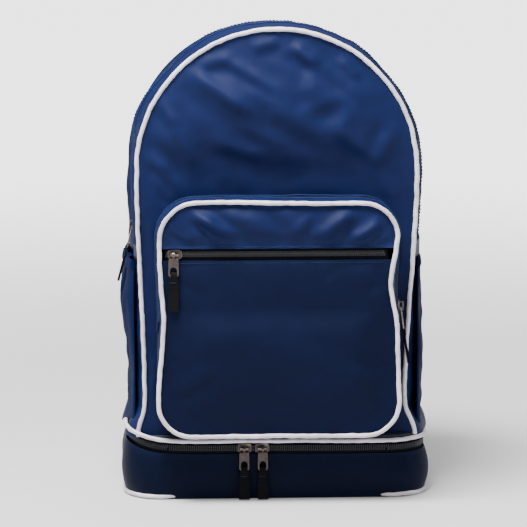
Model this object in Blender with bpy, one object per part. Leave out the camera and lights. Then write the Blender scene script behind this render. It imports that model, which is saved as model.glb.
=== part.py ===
"""School backpack with a shoe compartment, as an assembly of named sub-parts.

Frame: metres, +Z up, the front of the bag faces -Y, the wearer's back is at +Y.
Origin: the middle of the flat underside of the base panel, on the ground.
All driving dimensions below are in millimetres and are turned into metres when a mesh is made.
"""
import math

import bmesh
import bpy
from mathutils import Matrix, Vector

# ---------------------------------------------------------------- dimensions (mm)
GAP = 0.3            # clearance between two pieces that touch
HALF_W = 141.0       # main compartment, outer half width, and radius of its arched top
SPRING_Z = 332.0     # where the straight sides end and the arch begins
WALL = 2.5           # padded fabric wall: outer cloth, foam and lining
Y_FRONT = -75.0      # front panel
Y_BACK = 75.0        # outer face of the back panel
BACK_T = 9.7         # back panel: cloth, foam, lining
SEAM_Z = 63.5        # seam between main compartment and shoe compartment
SEAM_PIPE_Z = 59.3   # the piping round that seam
ZIP_END_Z = 256.0    # where the main zip ends on both sides
FOLD_Z = 312.0       # front panel folds forward here, above the front pocket
MAIN_ZIP_Y = -22.0

BASE_HALF_W = 150.0
BASE_FRONT_Y = -88.0
BASE_R_FRONT = 40.0
BASE_R_BACK = 12.0
BASE_ZIP_Z = 51.7
FLAP_HALF_W = 110.0  # flat part of the shoe compartment's front wall, which folds down
BASE_HINGE = (BASE_FRONT_Y, 6.0)

POCKET_HALF_W = 119.0
POCKET_Z = (69.0, 305.0)
POCKET_R = (33.0, 38.0)      # bottom and top corner radii
POCKET_Y = -118.0
POCKET_ZIP_Y = -97.0
POCKET_FOLD_Z = 185.0
FACE_ZIP_Z = 253.0

PIPE_R = 2.3
COIL_GAP = 0.7       # from the chain's centre line to each row of teeth
COIL_W = 2.0
PULL_LEN = 57.0      # from a pull's pivot to the end of its ribbon
BASE_PULL_LEN = 51.0 # the two pulls above the ground are shorter

MAIN_HINGE = (-80.0, FOLD_Z)
POCKET_HINGE = (-123.0, POCKET_FOLD_Z)

MM = 0.001


# ---------------------------------------------------------------- scene and materials
for old in list(bpy.data.objects):
    bpy.data.objects.remove(old)

_materials = {}


def material(name, colour, roughness, metallic=0.0):
    if name not in _materials:
        m = bpy.data.materials.new(name)
        m.use_nodes = True
        shader = m.node_tree.nodes["Principled BSDF"]
        shader.inputs["Base Color"].default_value = (*colour, 1.0)
        shader.inputs["Roughness"].default_value = roughness
        shader.inputs["Metallic"].default_value = metallic
        m.diffuse_color = (*colour, 1.0)
        _materials[name] = m
    return _materials[name]


NAVY = ("navy_cloth", (0.012, 0.035, 0.115), 0.6)
BLACK = ("black_mesh_cloth", (0.012, 0.012, 0.016), 0.8)
TAPE = ("black_zip_tape", (0.008, 0.010, 0.016), 0.7)
WHITE = ("white_piping", (0.78, 0.74, 0.76), 0.4)
METAL = ("gunmetal", (0.10, 0.075, 0.07), 0.35, 0.9)
PLASTIC = ("black_plastic", (0.012, 0.012, 0.013), 0.4)
WEB = ("black_webbing", (0.010, 0.010, 0.012), 0.75)
LINING = ("grey_lining", (0.03, 0.035, 0.05), 0.7)
BOARD = ("base_board_plastic", (0.05, 0.05, 0.05), 0.5)

root = bpy.data.objects.new("bag_frame", None)
bpy.context.scene.collection.objects.link(root)
_frames = {"bag": root}


def frame(name, at, parent="bag"):
    """An empty on a joint's axis, which the pieces of that moving body hang from."""
    empty = bpy.data.objects.new(name + "_axis", None)
    bpy.context.scene.collection.objects.link(empty)
    empty.parent = _frames[parent]
    origin = Vector(at) * MM
    up = _frames[parent]
    base = Vector((0, 0, 0))
    while up is not None:
        base += up.location
        up = up.parent
    empty.location = origin - base
    _frames[name] = empty
    return empty


def world_of(name):
    total, e = Vector((0, 0, 0)), _frames[name]
    while e is not None:
        total += e.location
        e = e.parent
    return total


def put(name, bm, look, body="bag", smooth=False):
    """Makes the object from a bmesh whose points are in millimetres in the row frame."""
    bmesh.ops.recalc_face_normals(bm, faces=bm.faces)
    bmesh.ops.scale(bm, vec=(MM, MM, MM), verts=bm.verts)
    at = world_of(body)
    bmesh.ops.translate(bm, vec=-at, verts=bm.verts)
    mesh = bpy.data.meshes.new(name)
    bm.to_mesh(mesh)
    bm.free()
    obj = bpy.data.objects.new(name, mesh)
    bpy.context.scene.collection.objects.link(obj)
    obj.parent = _frames[body]
    mesh.materials.append(material(*look))
    if smooth:
        mesh.shade_smooth()
        mesh.set_sharp_from_angle(angle=math.radians(40))
    return obj


# ---------------------------------------------------------------- shape makers
def loft(bm, rings, closed=False):
    """Quads between rings of points, with the two ends capped unless the rings form a loop."""
    made = [[bm.verts.new(p) for p in ring] for ring in rings]
    pairs = list(zip(made, made[1:]))
    if closed:
        pairs.append((made[-1], made[0]))
    for a, b in pairs:
        n = len(a)
        for i in range(n):
            bm.faces.new((a[i], a[(i + 1) % n], b[(i + 1) % n], b[i]))
    if not closed:
        bm.faces.new(list(reversed(made[0])))
        bm.faces.new(made[-1])
    return bm


def prism(points, lo, hi, axis="y"):
    """A flat outline extruded along one axis. points are the two other coordinates, in X, Y, Z order."""
    def lift(p, h):
        return {"x": (h, p[0], p[1]), "y": (p[0], h, p[1]), "z": (p[0], p[1], h)}[axis]
    return loft(bmesh.new(), [[lift(p, lo) for p in points], [lift(p, hi) for p in points]])


def box(x0, x1, y0, y1, z0, z1):
    return prism([(x0, z0), (x1, z0), (x1, z1), (x0, z1)], y0, y1, "y")


def arc(cx, cz, r, a0, a1, n):
    return [(cx + r * math.cos(math.radians(a0 + (a1 - a0) * i / n)),
             cz + r * math.sin(math.radians(a0 + (a1 - a0) * i / n))) for i in range(n + 1)]


def arch_track(z_low, n=28, legs=1):
    """The arched outline in XZ from the left leg over the top to the right leg: (x, z, outward normal x, z)."""
    track = []
    for i in range(legs):
        track.append((-HALF_W, z_low + (SPRING_Z - z_low) * i / legs, -1.0, 0.0))
    for x, z in arc(0, 0, 1, 180, 0, n):
        track.append((HALF_W * x, SPRING_Z + HALF_W * z, x, z))
    for i in range(legs):
        track.append((HALF_W, SPRING_Z - (SPRING_Z - z_low) * (i + 1) / legs, 1.0, 0.0))
    return track


def pocket_track(z_low=None, corner=6, lower=False):
    """The front pocket's outline. Full loop, the inverted U above z_low, or the U below it."""
    hw, (z0, z1), (rb, rt) = POCKET_HALF_W, POCKET_Z, POCKET_R
    def turn(cx, cz, r, a0, a1):
        return [(cx + r * math.cos(math.radians(a0 + (a1 - a0) * i / corner)),
                 cz + r * math.sin(math.radians(a0 + (a1 - a0) * i / corner)),
                 math.cos(math.radians(a0 + (a1 - a0) * i / corner)),
                 math.sin(math.radians(a0 + (a1 - a0) * i / corner))) for i in range(corner + 1)]
    top = turn(-hw + rt, z1 - rt, rt, 180, 90) + turn(hw - rt, z1 - rt, rt, 90, 0)
    bottom = turn(hw - rb, z0 + rb, rb, 0, -90) + turn(-hw + rb, z0 + rb, rb, -90, -180)
    if z_low is None:
        return top + bottom
    if lower:
        return [(hw, z_low, 1, 0)] + bottom + [(-hw, z_low, -1, 0)]
    return [(-hw, z_low, -1, 0)] + top + [(hw, z_low, 1, 0)]


def base_track(start="full", n_front=7, n_back=3):
    """The shoe compartment's plan outline, anticlockwise from the front left, as (x, y, normal x, y).
    full is the closed loop, wall leaves out the flat front, zip runs round the front and part of the sides."""
    hw, yf, rf, rb = BASE_HALF_W, BASE_FRONT_Y, BASE_R_FRONT, BASE_R_BACK
    yb = Y_BACK - 10.0
    def turn(cx, cy, r, a0, a1, n):
        return [(cx + r * math.cos(math.radians(a0 + (a1 - a0) * i / n)),
                 cy + r * math.sin(math.radians(a0 + (a1 - a0) * i / n)),
                 math.cos(math.radians(a0 + (a1 - a0) * i / n)),
                 math.sin(math.radians(a0 + (a1 - a0) * i / n))) for i in range(n + 1)]
    front_right = turn(hw - rf, yf + rf, rf, -90, 0, n_front)
    back_right = turn(hw - rb, yb - rb, rb, 0, 90, n_back)
    back_left = turn(-hw + rb, yb - rb, rb, 90, 180, n_back)
    front_left = turn(-hw + rf, yf + rf, rf, 180, 270, n_front)
    if start == "full":
        return front_right + back_right + back_left + front_left
    if start == "wall":
        return front_right + back_right + back_left + front_left
    return ([(-hw, 30.0, -1, 0)] + front_left + front_right + [(hw, 30.0, 1, 0)])


def sweep_xz(track, section, closed=False):
    """section holds (d, y): d outward from the track, which lies in XZ."""
    rings = [[(x + nx * d, y, z + nz * d) for d, y in section] for x, z, nx, nz in track]
    return loft(bmesh.new(), rings, closed)


def sweep_xy(track, section, closed=False):
    """section holds (d, z): d outward from the track, which lies in XY."""
    rings = [[(x + nx * d, y + ny * d, z) for d, z in section] for x, y, nx, ny in track]
    return loft(bmesh.new(), rings, closed)


def rect(a0, a1, b0, b1):
    return [(a0, b0), (a1, b0), (a1, b1), (a0, b1)]


def disc(ca, cb, r, n=8):
    return [(ca + r * math.cos(2 * math.pi * i / n + math.pi / n), cb + r * math.sin(2 * math.pi * i / n + math.pi / n))
            for i in range(n)]


def tape_section(mid, edge, centre, sign, wall=1.2, ridge=2.4):
    """One zip tape with its row of teeth: (d, b) points. b runs from edge to the teeth beside centre."""
    teeth = centre - sign * COIL_GAP
    back = teeth - sign * COIL_W
    h, r = wall / 2, ridge / 2
    return [(mid - h, edge), (mid + h, edge), (mid + h, back), (mid + r, back), (mid + r, teeth),
            (mid - r, teeth), (mid - r, back), (mid - h, back)]


def solid_mesh(name, bm):
    bmesh.ops.recalc_face_normals(bm, faces=bm.faces)
    mesh = bpy.data.meshes.new(name)
    bm.to_mesh(mesh)
    bm.free()
    obj = bpy.data.objects.new(name, mesh)
    bpy.context.scene.collection.objects.link(obj)
    return obj


def combined(first, others):
    """Boolean of bmeshes in millimetres: others is a list of (operation, bmesh). Gives a bmesh."""
    made = [solid_mesh("work_0", first)]
    for i, (operation, bm) in enumerate(others):
        helper = solid_mesh(f"work_{i + 1}", bm)
        made.append(helper)
        modifier = made[0].modifiers.new(f"b{i}", "BOOLEAN")
        modifier.operation = operation
        modifier.object = helper
        modifier.solver = "EXACT"
    bpy.context.view_layer.update()
    graph = bpy.context.evaluated_depsgraph_get()
    result = bmesh.new()
    result.from_mesh(made[0].evaluated_get(graph).to_mesh())
    for obj in made:
        bpy.data.objects.remove(obj)
    bmesh.ops.triangulate(result, faces=[f for f in result.faces if len(f.verts) > 4])
    return result


def moved(bm, matrix):
    bmesh.ops.transform(bm, matrix=matrix, verts=bm.verts)
    return bm


# ---------------------------------------------------------------- shell: back, sides, floor
mid = -WALL / 2

back_outline = ([(-HALF_W, 3.0 + GAP + 20)] + [(-HALF_W, SPRING_Z)] + arc(0, SPRING_Z, HALF_W, 180, 0, 26)[1:-1]
                + [(HALF_W, SPRING_Z)] + [(HALF_W, 3.0 + GAP + 20)] + arc(HALF_W - 20, 23.3, 20, 0, -90, 3)[1:]
                + arc(-HALF_W + 20, 23.3, 20, -90, -180, 3)[:-1])
put("back_panel", prism(back_outline, Y_BACK - BACK_T, Y_BACK), BLACK)

inner = HALF_W - WALL - GAP
put("front_panel_lower", prism([(-inner, SEAM_Z + GAP), (inner, SEAM_Z + GAP), (inner, FOLD_Z - 0.15), (-inner, FOLD_Z - 0.15)],
                               Y_FRONT, Y_FRONT + WALL), NAVY)

put("rear_gusset", sweep_xz(arch_track(ZIP_END_Z), rect(-WALL, 0, MAIN_ZIP_Y + 8.0, Y_BACK - BACK_T - GAP)), NAVY)
put("main_zip_rear_tape", sweep_xz(arch_track(ZIP_END_Z), tape_section(mid, MAIN_ZIP_Y + 7.7, MAIN_ZIP_Y, -1)), TAPE)

for side, word in ((-1, "left"), (1, "right")):
    x_out, x_in = side * HALF_W, side * (HALF_W - WALL)
    x0, x1 = min(x_out, x_in), max(x_out, x_in)
    xm = (x0 + x1) / 2
    z_top = ZIP_END_Z - GAP
    plate = prism([(Y_FRONT, SEAM_Z + GAP), (Y_BACK - BACK_T - GAP, SEAM_Z + GAP), (Y_BACK - BACK_T - GAP, z_top),
                   (-30.0, z_top), (-30.0, FOLD_Z - 0.15), (Y_FRONT, FOLD_Z - 0.15)], x0, x1, "x")
    tape = box(xm - 0.6, xm + 0.6, -31.0, MAIN_ZIP_Y - COIL_GAP - 0.5, z_top - 2, FOLD_Z - 0.15)
    teeth = box(xm - 1.2, xm + 1.2, MAIN_ZIP_Y - COIL_GAP - COIL_W, MAIN_ZIP_Y - COIL_GAP, z_top - 1, FOLD_Z - 0.15)
    put(f"{word}_side_panel", combined(plate, [("UNION", tape), ("UNION", teeth)]), NAVY)

plan = [(x, y) for x, y, _, _ in base_track("full")]
plan_in = [(x - nx * 3.0, y - ny * 3.0) for x, y, nx, ny in base_track("full")]
put("compartment_floor", prism(plan, SEAM_Z - 2.3, SEAM_Z - GAP, "z"), LINING)

# shoe compartment: base, stiffener, wall that runs round the sides and the back, folding front
plan_back = [(x, y + (Y_BACK - max(plan, key=lambda p: p[1])[1] if y > 40 else 0.0)) for x, y in plan]
put("base_panel", prism(plan_back, 0.0, 3.0, "z"), BLACK)
put("base_board", prism(plan_in, 3.0 + GAP, 5.7, "z"), BOARD)
behind = [p for p in base_track("wall") if p[1] > 40.0]
behind = [(BASE_HALF_W, 30.0 + GAP, 1, 0)] + behind + [(-BASE_HALF_W, 30.0 + GAP, -1, 0)]
high_wall = sweep_xy(behind, rect(-WALL, 0, BASE_ZIP_Z - 4, SEAM_Z - 2.3 - GAP))
put("base_wall", combined(sweep_xy(base_track("wall"), rect(-WALL, 0, 3.0 + GAP, BASE_ZIP_Z - COIL_GAP)), [("UNION", high_wall)]), NAVY)
put("base_zip_upper_tape", sweep_xy(base_track("zip"), tape_section(mid, SEAM_Z - 2.3 - GAP, BASE_ZIP_Z, -1)), TAPE)

# ---------------------------------------------------------------- piping
pipe = disc(-1.5, Y_FRONT - GAP - PIPE_R, PIPE_R, 6)
for side, word in ((-1, "left"), (1, "right")):
    legs = [(side * HALF_W, 66.0, side, 0), (side * HALF_W, FOLD_Z - 0.15, side, 0)]
    put(f"main_piping_{word}", sweep_xz(legs, pipe), WHITE, smooth=True)
put("base_piping_upper", sweep_xy(base_track("zip", 8), disc(GAP + PIPE_R, SEAM_PIPE_Z, PIPE_R, 6)), WHITE, smooth=True)
put("base_piping_lower", sweep_xy(base_track("zip", 8), disc(GAP + PIPE_R, PIPE_R + 0.3, PIPE_R, 6)), WHITE, smooth=True)

# ---------------------------------------------------------------- front flap of the main compartment
frame("front_flap", (0, *MAIN_HINGE))
flap_outline = ([(-inner, FOLD_Z + 0.15)] + arc(0, SPRING_Z, inner, 180, 0, 26) + [(inner, FOLD_Z + 0.15)])
put("front_flap_panel", prism(flap_outline, Y_FRONT, Y_FRONT + WALL), NAVY, "front_flap")
flap_track = arch_track(FOLD_Z + 0.15)
put("front_flap_gusset", sweep_xz(flap_track, rect(-WALL, 0, Y_FRONT, MAIN_ZIP_Y - 8.0)), NAVY, "front_flap")
put("main_zip_flap_tape", sweep_xz(flap_track, tape_section(mid, MAIN_ZIP_Y - 7.7, MAIN_ZIP_Y, 1)), TAPE, "front_flap")
put("main_piping_flap", sweep_xz(flap_track, pipe), WHITE, "front_flap", True)

# ---------------------------------------------------------------- front pocket
PW = 2.0
ring = sweep_xz(pocket_track(), rect(-PW, 0, POCKET_ZIP_Y + 8.0, Y_FRONT - GAP), True)
lower = sweep_xz(pocket_track(POCKET_FOLD_Z - 0.15, lower=True), rect(-PW, 0, POCKET_Y, POCKET_ZIP_Y + 9.0))
put("pocket_gusset", combined(ring, [("UNION", lower)]), NAVY)
put("pocket_zip_rear_tape", sweep_xz(pocket_track(POCKET_FOLD_Z + 0.15), tape_section(-1.0, POCKET_ZIP_Y + 7.7, POCKET_ZIP_Y, -1)), TAPE)


def pocket_face(z0, z1, lower_part):
    inset = PW + GAP
    pts = [(x - nx * inset, z - nz * inset) for x, z, nx, nz in pocket_track(z1 if lower_part else z0, lower=lower_part)]
    return prism(pts, POCKET_Y, POCKET_Y + 2.0)


put("pocket_face_lower", pocket_face(None, POCKET_FOLD_Z - 0.15, True), NAVY)
lip = disc(-1.2, POCKET_Y - GAP - PIPE_R, PIPE_R, 6)
put("pocket_piping_lower", sweep_xz(pocket_track(POCKET_FOLD_Z - 0.15, 8, True), lip), WHITE, smooth=True)

frame("pocket_flap", (0, *POCKET_HINGE))
slot = box(-110, 110, POCKET_Y - 1, POCKET_Y + 3, FACE_ZIP_Z - 8, FACE_ZIP_Z + 8)
put("pocket_face_upper", combined(pocket_face(POCKET_FOLD_Z + 0.15, None, False), [("DIFFERENCE", slot)]), NAVY, "pocket_flap")
upper_track = pocket_track(POCKET_FOLD_Z + 0.15)
put("pocket_flap_gusset", sweep_xz(upper_track, rect(-PW, 0, POCKET_Y, POCKET_ZIP_Y - 8.0)), NAVY, "pocket_flap")
put("pocket_zip_flap_tape", sweep_xz(upper_track, tape_section(-1.0, POCKET_ZIP_Y - 7.7, POCKET_ZIP_Y, 1)), TAPE, "pocket_flap")
put("pocket_piping_flap", sweep_xz(pocket_track(POCKET_FOLD_Z + 0.15, 8), lip), WHITE, "pocket_flap", True)

fy = POCKET_Y + 2.9          # middle of the face zip's tape
zip_plate = box(-113, 113, fy - 0.6, fy + 0.6, FACE_ZIP_Z - 10, FACE_ZIP_Z + 10)
zip_slit = box(-109, 109, fy - 3, fy + 3, FACE_ZIP_Z - COIL_GAP, FACE_ZIP_Z + COIL_GAP)
row_low = box(-109.5, 109.5, fy - 1.2, fy + 1.2, FACE_ZIP_Z - COIL_GAP - COIL_W, FACE_ZIP_Z - COIL_GAP)
row_high = box(-109.5, 109.5, fy - 1.2, fy + 1.2, FACE_ZIP_Z + COIL_GAP, FACE_ZIP_Z + COIL_GAP + COIL_W)
put("face_zip_tape", combined(zip_plate, [("DIFFERENCE", zip_slit), ("UNION", row_low), ("UNION", row_high)]), TAPE, "pocket_flap")
put("slip_pocket_lining", box(-108, 108, POCKET_Y + 9.0, POCKET_Y + 10.0, 190, 268), LINING, "pocket_flap")

# ---------------------------------------------------------------- folding front of the shoe compartment
frame("base_flap", (0, *BASE_HINGE))
fx = FLAP_HALF_W - GAP
put("base_flap_panel", box(-fx, fx, BASE_FRONT_Y, BASE_FRONT_Y + WALL, 6.3, BASE_ZIP_Z - 6.9), NAVY, "base_flap")
straight = [(-fx, BASE_FRONT_Y, 0, -1), (fx, BASE_FRONT_Y, 0, -1)]
put("base_zip_flap_tape", sweep_xy(straight, tape_section(mid, BASE_ZIP_Z - 6.6, BASE_ZIP_Z, 1)), TAPE, "base_flap")

# ---------------------------------------------------------------- side pockets
def side_pocket(side):
    """A gathered patch pocket: a thin sheet that bulges from the side panel and is open at its top."""
    rings = []
    profile = [(SEAM_Z + GAP, 6.5), (85, 8.0), (125, 9.5), (165, 12.5), (195, 14.0), (218, 12.0), (238, 8.8)]
    for z, bulge in profile:
        outer, inner_row = [], []
        for i in range(13):
            t = i / 12
            y = -66 + 122 * t
            b = bulge * math.sin(math.pi * t) ** 0.55
            outer.append((side * (HALF_W + GAP + 1.2 + max(b - 1.2, 0.0)), y, z))
            inner_row.append((side * (HALF_W + GAP + max(b - 1.2, 0.0)), y, z))
        rings.append(outer + inner_row[::-1])
    return loft(bmesh.new(), rings)


put("left_side_pocket", side_pocket(-1), NAVY)
put("right_side_pocket", side_pocket(1), NAVY)

# ---------------------------------------------------------------- shoulder straps, yoke, anchors, haul loop
put("strap_yoke", prism([(-88, 396), (88, 396), (88, 440), (70, 452), (-70, 452), (-88, 440)], Y_BACK + GAP, Y_BACK + 2.3), NAVY)

STRAP_TOP = (Y_BACK + 2.6 + 6.0, 424.0)


def strap_point(t):
    """Middle line of the padded strap, t from 0 at the yoke to 1 at the adjuster: (x, y, z) for the right strap."""
    z = 424.0 - 256.0 * t
    x = 46.0 + 40.0 * (3 * t * t - 2 * t * t * t)
    y = Y_BACK + 9.5 + 36.0 * math.sin(math.pi * min(1.0, t * 0.93) ** 0.9)
    return Vector((x, y, z))


def strap_frame(t):
    d = 0.01
    a, b = strap_point(max(0, t - d)), strap_point(min(1, t + d))
    along = (b - a).normalized()
    across = Vector((1, 0, 0)) - along * along.x
    across.normalize()
    return strap_point(t), across, along.cross(across).normalized()


def strap_solid(side, t0, t1, n, width, low, high, pinch=False):
    """A band that follows the strap: width(t) wide, from low to high measured outward (away from the back)."""
    rings = []
    for i in range(n + 1):
        t = t0 + (t1 - t0) * i / n
        p, across, out = strap_frame(t)
        if out.y < 0:
            out = -out
        w = width(t) / 2
        ring = [p - across * w + out * low, p + across * w + out * low, p + across * w + out * high, p - across * w + out * high]
        if pinch:
            ring = [p - across * w + out * (low * 0.4), p - across * (w - 4) + out * low, p + across * (w - 4) + out * low,
                    p + across * w + out * (low * 0.4), p + across * w + out * (high * 0.4), p + across * (w - 4) + out * high,
                    p - across * (w - 4) + out * high, p - across * w + out * (high * 0.4)]
        rings.append([(side * q.x, q.y, q.z) for q in ring])
    return loft(bmesh.new(), rings)


def pad_width(t):
    return 62.0 - 10.0 * t - (22.0 * ((t - 0.86) / 0.14) ** 2 if t > 0.86 else 0.0)


def ladder_lock(side):
    """A three-bar plastic adjuster, 34 by 30 mm, with two slots for 25 mm webbing."""
    plate = prism([(-17, -15), (17, -15), (17, 11), (14, 15), (-14, 15), (-17, 11)], -2.2, 2.2)
    cuts = [("DIFFERENCE", box(-13.2, 13.2, -5, 5, 6.0, 11.0)), ("DIFFERENCE", box(-13.2, 13.2, -5, 5, -3.0, 2.0)),
            ("DIFFERENCE", box(-13.2, 13.2, -5, 5, -11.5, -7.0))]
    p, across, out = strap_frame(1.0)
    if out.y < 0:
        out = -out
    along = across.cross(out)
    if along.z < 0:
        along = -along
    centre = p - along * 19.0
    turn = Matrix((across, out, along)).transposed().to_4x4()
    bm = moved(combined(plate, cuts), Matrix.Translation(centre) @ turn)
    if side < 0:
        moved(bm, Matrix.Scale(-1, 4, (1, 0, 0)))
    return bm


lock_p, lock_across, lock_out = strap_frame(1.0)
if lock_out.y < 0:
    lock_out = -lock_out
lock_along = lock_across.cross(lock_out)
if lock_along.z < 0:
    lock_along = -lock_along
for side, word in ((-1, "left"), (1, "right")):
    body = f"strap_{word}"
    frame(body, (side * 46.0, STRAP_TOP[0], STRAP_TOP[1]))
    put(f"strap_pad_{word}", strap_solid(side, 0.0, 1.0, 22, pad_width, -5.5, 5.5, True), BLACK, body)
    put(f"strap_webbing_{word}", strap_solid(side, 0.30, 1.0, 14, lambda t: 25.0, 5.8, 7.2), WEB, body)
    put(f"ladder_lock_{word}", ladder_lock(side), PLASTIC, body)
    # short webbing between the lower anchor tab and the adjuster: one sewn piece with its triangular tab
    low = Vector((118.0, Y_BACK + 2.0, 84.0))
    high = lock_p - lock_along * 43.0 + Vector((3.0, 0.0, 0.0))
    run = (high - low)
    side_way = Vector((run.z, 0, -run.x)).normalized() * 12.5
    away = side_way.cross(run).normalized() * 0.7
    if away.y < 0:
        away = -away
    rings = [[p - side_way - away, p + side_way - away, p + side_way + away, p - side_way + away] for p in (low, low + run * 0.5, high)]
    put(f"lower_webbing_{word}", loft(bmesh.new(), [[(side * q.x, q.y, q.z) for q in r] for r in rings]), WEB)
    tab = prism([(side * 96, 66), (side * 139, 66), (side * 139, 92), (side * 127, 82), (side * 112, 79)][::(1 if side > 0 else -1)],
                Y_BACK + GAP, Y_BACK + 0.9)
    put(f"strap_anchor_{word}", tab, NAVY)

HANDLE_HINGE = (Y_BACK + 4.6, 461.0)
frame("haul_loop", (0, *HANDLE_HINGE))
leg, drop, bend = 31.0, 437.0, 16.0
line = [(-leg, 463.0, -1, 0)] + [(-leg + bend + bend * math.cos(math.radians(a)), drop + bend + bend * math.sin(math.radians(a)),
                                  math.cos(math.radians(a)), math.sin(math.radians(a))) for a in (180, 202, 225, 247, 270)]
line += [(leg - bend + bend * math.cos(math.radians(a)), drop + bend + bend * math.sin(math.radians(a)),
          math.cos(math.radians(a)), math.sin(math.radians(a))) for a in (270, 293, 315, 338, 360)] + [(leg, 463.0, 1, 0)]
put("haul_handle", sweep_xz(line, rect(-9.0, 9.0, Y_BACK + 3.2, Y_BACK + 6.0)), WEB, "haul_loop")

# ---------------------------------------------------------------- zip sliders and pulls
def plate_outline(half=False):
    left = 0.4 if half else 4.6
    pts = [(-3.4, -7.0), (3.4, -7.0), (4.6, -3.0), (4.6, 4.8), (3.0, 7.0), (-3.0, 7.0), (-4.6, 4.8), (-4.6, -3.0)]
    if half:
        pts = [(-0.4, -7.0), (3.4, -7.0), (4.6, -3.0), (4.6, 4.8), (3.0, 7.0), (-0.4, 7.0)]
    return pts


def slider(half):
    """Local frame: travel along Z, outward is -Y. The web passes between the two rows of teeth."""
    outer_plate = prism(plate_outline(), -3.0, -1.6)
    inner_plate = prism(plate_outline(half), 1.6, 2.8)
    web = box(-0.38, 0.38, -2.2, 2.2, 0.5, 6.0)
    crown = prism([(-7.4, -3.6), (-6.6, -4.5), (-2.4, -4.5), (-2.4, -3.0), (-6.0, -3.0), (-6.0, 3.0), (-2.4, 3.0),
                   (-2.4, 4.5), (-6.6, 4.5), (-7.4, 3.6)], -1.1, 1.1, "x")
    return combined(outer_plate, [("UNION", web), ("UNION", inner_plate), ("UNION", crown)])


def pull_tab(kind):
    """Hangs along -Z from its pivot at the local origin. V straddles the crown, H is a ring round its bar."""
    top = -4.4 if kind == "V" else -3.6
    plate = prism([(-4.6, top), (-5.0, top - 6), (-5.0, -20.0), (-4.0, -21.6), (4.0, -21.6), (5.0, -20.0), (5.0, top - 6), (4.6, top)],
                  -0.7, 0.7)
    hole = prism([(-3.4, -19.3), (3.4, -19.3)] + [(3.4 * math.cos(a), -15.6 + 3.4 * math.sin(a)) for a in
                                                  [math.pi * i / 6 for i in range(7)]], -3, 3)
    if kind == "V":
        steps = [("DIFFERENCE", hole), ("UNION", box(-3.2, -1.7, -0.7, 0.7, top - 1.5, 0.8)), ("UNION", box(1.7, 3.2, -0.7, 0.7, top - 1.5, 0.8)),
                 ("UNION", box(-2.2, 2.2, -0.7, 0.7, -0.7, 0.7))]
        return combined(plate, steps)
    ring_out = [(2.9 * math.cos(2 * math.pi * i / 12), 2.9 * math.sin(2 * math.pi * i / 12)) for i in range(12)]
    ring_in = [(1.7 * math.cos(2 * math.pi * i / 12), 1.7 * math.sin(2 * math.pi * i / 12)) for i in range(12)]
    steps = [("DIFFERENCE", hole), ("UNION", box(-1.3, 1.3, -0.7, 0.7, top - 1.0, -2.2)), ("UNION", prism(ring_out, -1.3, 1.3, "x")),
             ("DIFFERENCE", prism(ring_in, -3, 3, "x"))]
    return combined(plate, steps)


def ribbon(length):
    """A folded webbing loop through the tab's hole, sewn to itself below the tab."""
    side_on = [(-1.1, -length, 5.2), (1.1, -length, 5.2), (1.1, -27.0, 5.2), (2.1, -22.5, 3.4), (2.1, -18.2, 2.6), (1.2, -16.9, 2.4),
               (-1.2, -16.9, 2.4), (-2.1, -18.2, 2.6), (-2.1, -22.5, 3.4), (-1.1, -27.0, 5.2)]
    body = loft(bmesh.new(), [[(-w, y, z) for y, z, w in side_on], [(w, y, z) for y, z, w in side_on]])
    return combined(body, [("DIFFERENCE", box(-6, 6, -1.05, 1.05, -22.2, -18.8))])


SLIDER_FULL, SLIDER_HALF = slider(False), slider(True)
TAB_V, TAB_H, RIBBON, SHORT_RIBBON = pull_tab("V"), pull_tab("H"), ribbon(PULL_LEN), ribbon(BASE_PULL_LEN)


def place_slider(name, at, turn, kind, pull_at, pull_turn, half=False, parent="bag", band=None):
    """at is the chain's mid plane point. turn maps the slider's local frame, pull_turn the pull's."""
    frame(f"{name}_slider", at, parent)
    put(f"{name}_zip_slider", moved((SLIDER_HALF if half else SLIDER_FULL).copy(), Matrix.Translation(at) @ turn), METAL, f"{name}_slider")
    frame(f"{name}_pull", pull_at, f"{name}_slider")
    tab = (TAB_V if kind == "V" else TAB_H).copy()
    put(f"{name}_pull_tab", moved(tab, Matrix.Translation(pull_at) @ pull_turn), METAL, f"{name}_pull")
    put(f"{name}_pull_ribbon", moved((band or RIBBON).copy(), Matrix.Translation(pull_at) @ pull_turn), WEB, f"{name}_pull")


turn_left = Matrix.Rotation(math.radians(-90), 4, "Z")
turn_right = Matrix.Rotation(math.radians(90), 4, "Z")
lie_down = Matrix.Rotation(math.radians(90), 4, "Y")
MAIN_SLIDER_Z, MAIN_TILT = 270.0, 14.0
xm = -(HALF_W - WALL / 2)
place_slider("main", (xm, MAIN_ZIP_Y, MAIN_SLIDER_Z), turn_left, "V", (xm - 4.55, MAIN_ZIP_Y, MAIN_SLIDER_Z - 1.8),
             Matrix.Rotation(math.radians(MAIN_TILT), 4, "Y") @ turn_left)
POCKET_SLIDER_Z, POCKET_TILT = 197.0, 8.0
xp = POCKET_HALF_W - 1.0
place_slider("pocket", (xp, POCKET_ZIP_Y, POCKET_SLIDER_Z), turn_right, "V", (xp + 4.55, POCKET_ZIP_Y, POCKET_SLIDER_Z - 1.8),
             Matrix.Rotation(math.radians(-POCKET_TILT), 4, "Y") @ turn_right)
place_slider("face", (-102.8, fy, FACE_ZIP_Z), lie_down, "H", (-104.2, fy - 6.7, FACE_ZIP_Z), Matrix.Identity(4), parent="pocket_flap")
by = BASE_FRONT_Y + WALL / 2
lean = Matrix.Rotation(math.radians(-3.0), 4, "X")      # these two lean out over the piping at the foot
place_slider("base_left", (-33.0, by, BASE_ZIP_Z), lie_down, "H", (-33.6, by - 6.7, BASE_ZIP_Z), lean, True, "base_flap", SHORT_RIBBON)
place_slider("base_right", (-15.5, by, BASE_ZIP_Z), lie_down, "H", (-14.9, by - 6.7, BASE_ZIP_Z), lean, True, "base_flap", SHORT_RIBBON)
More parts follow.
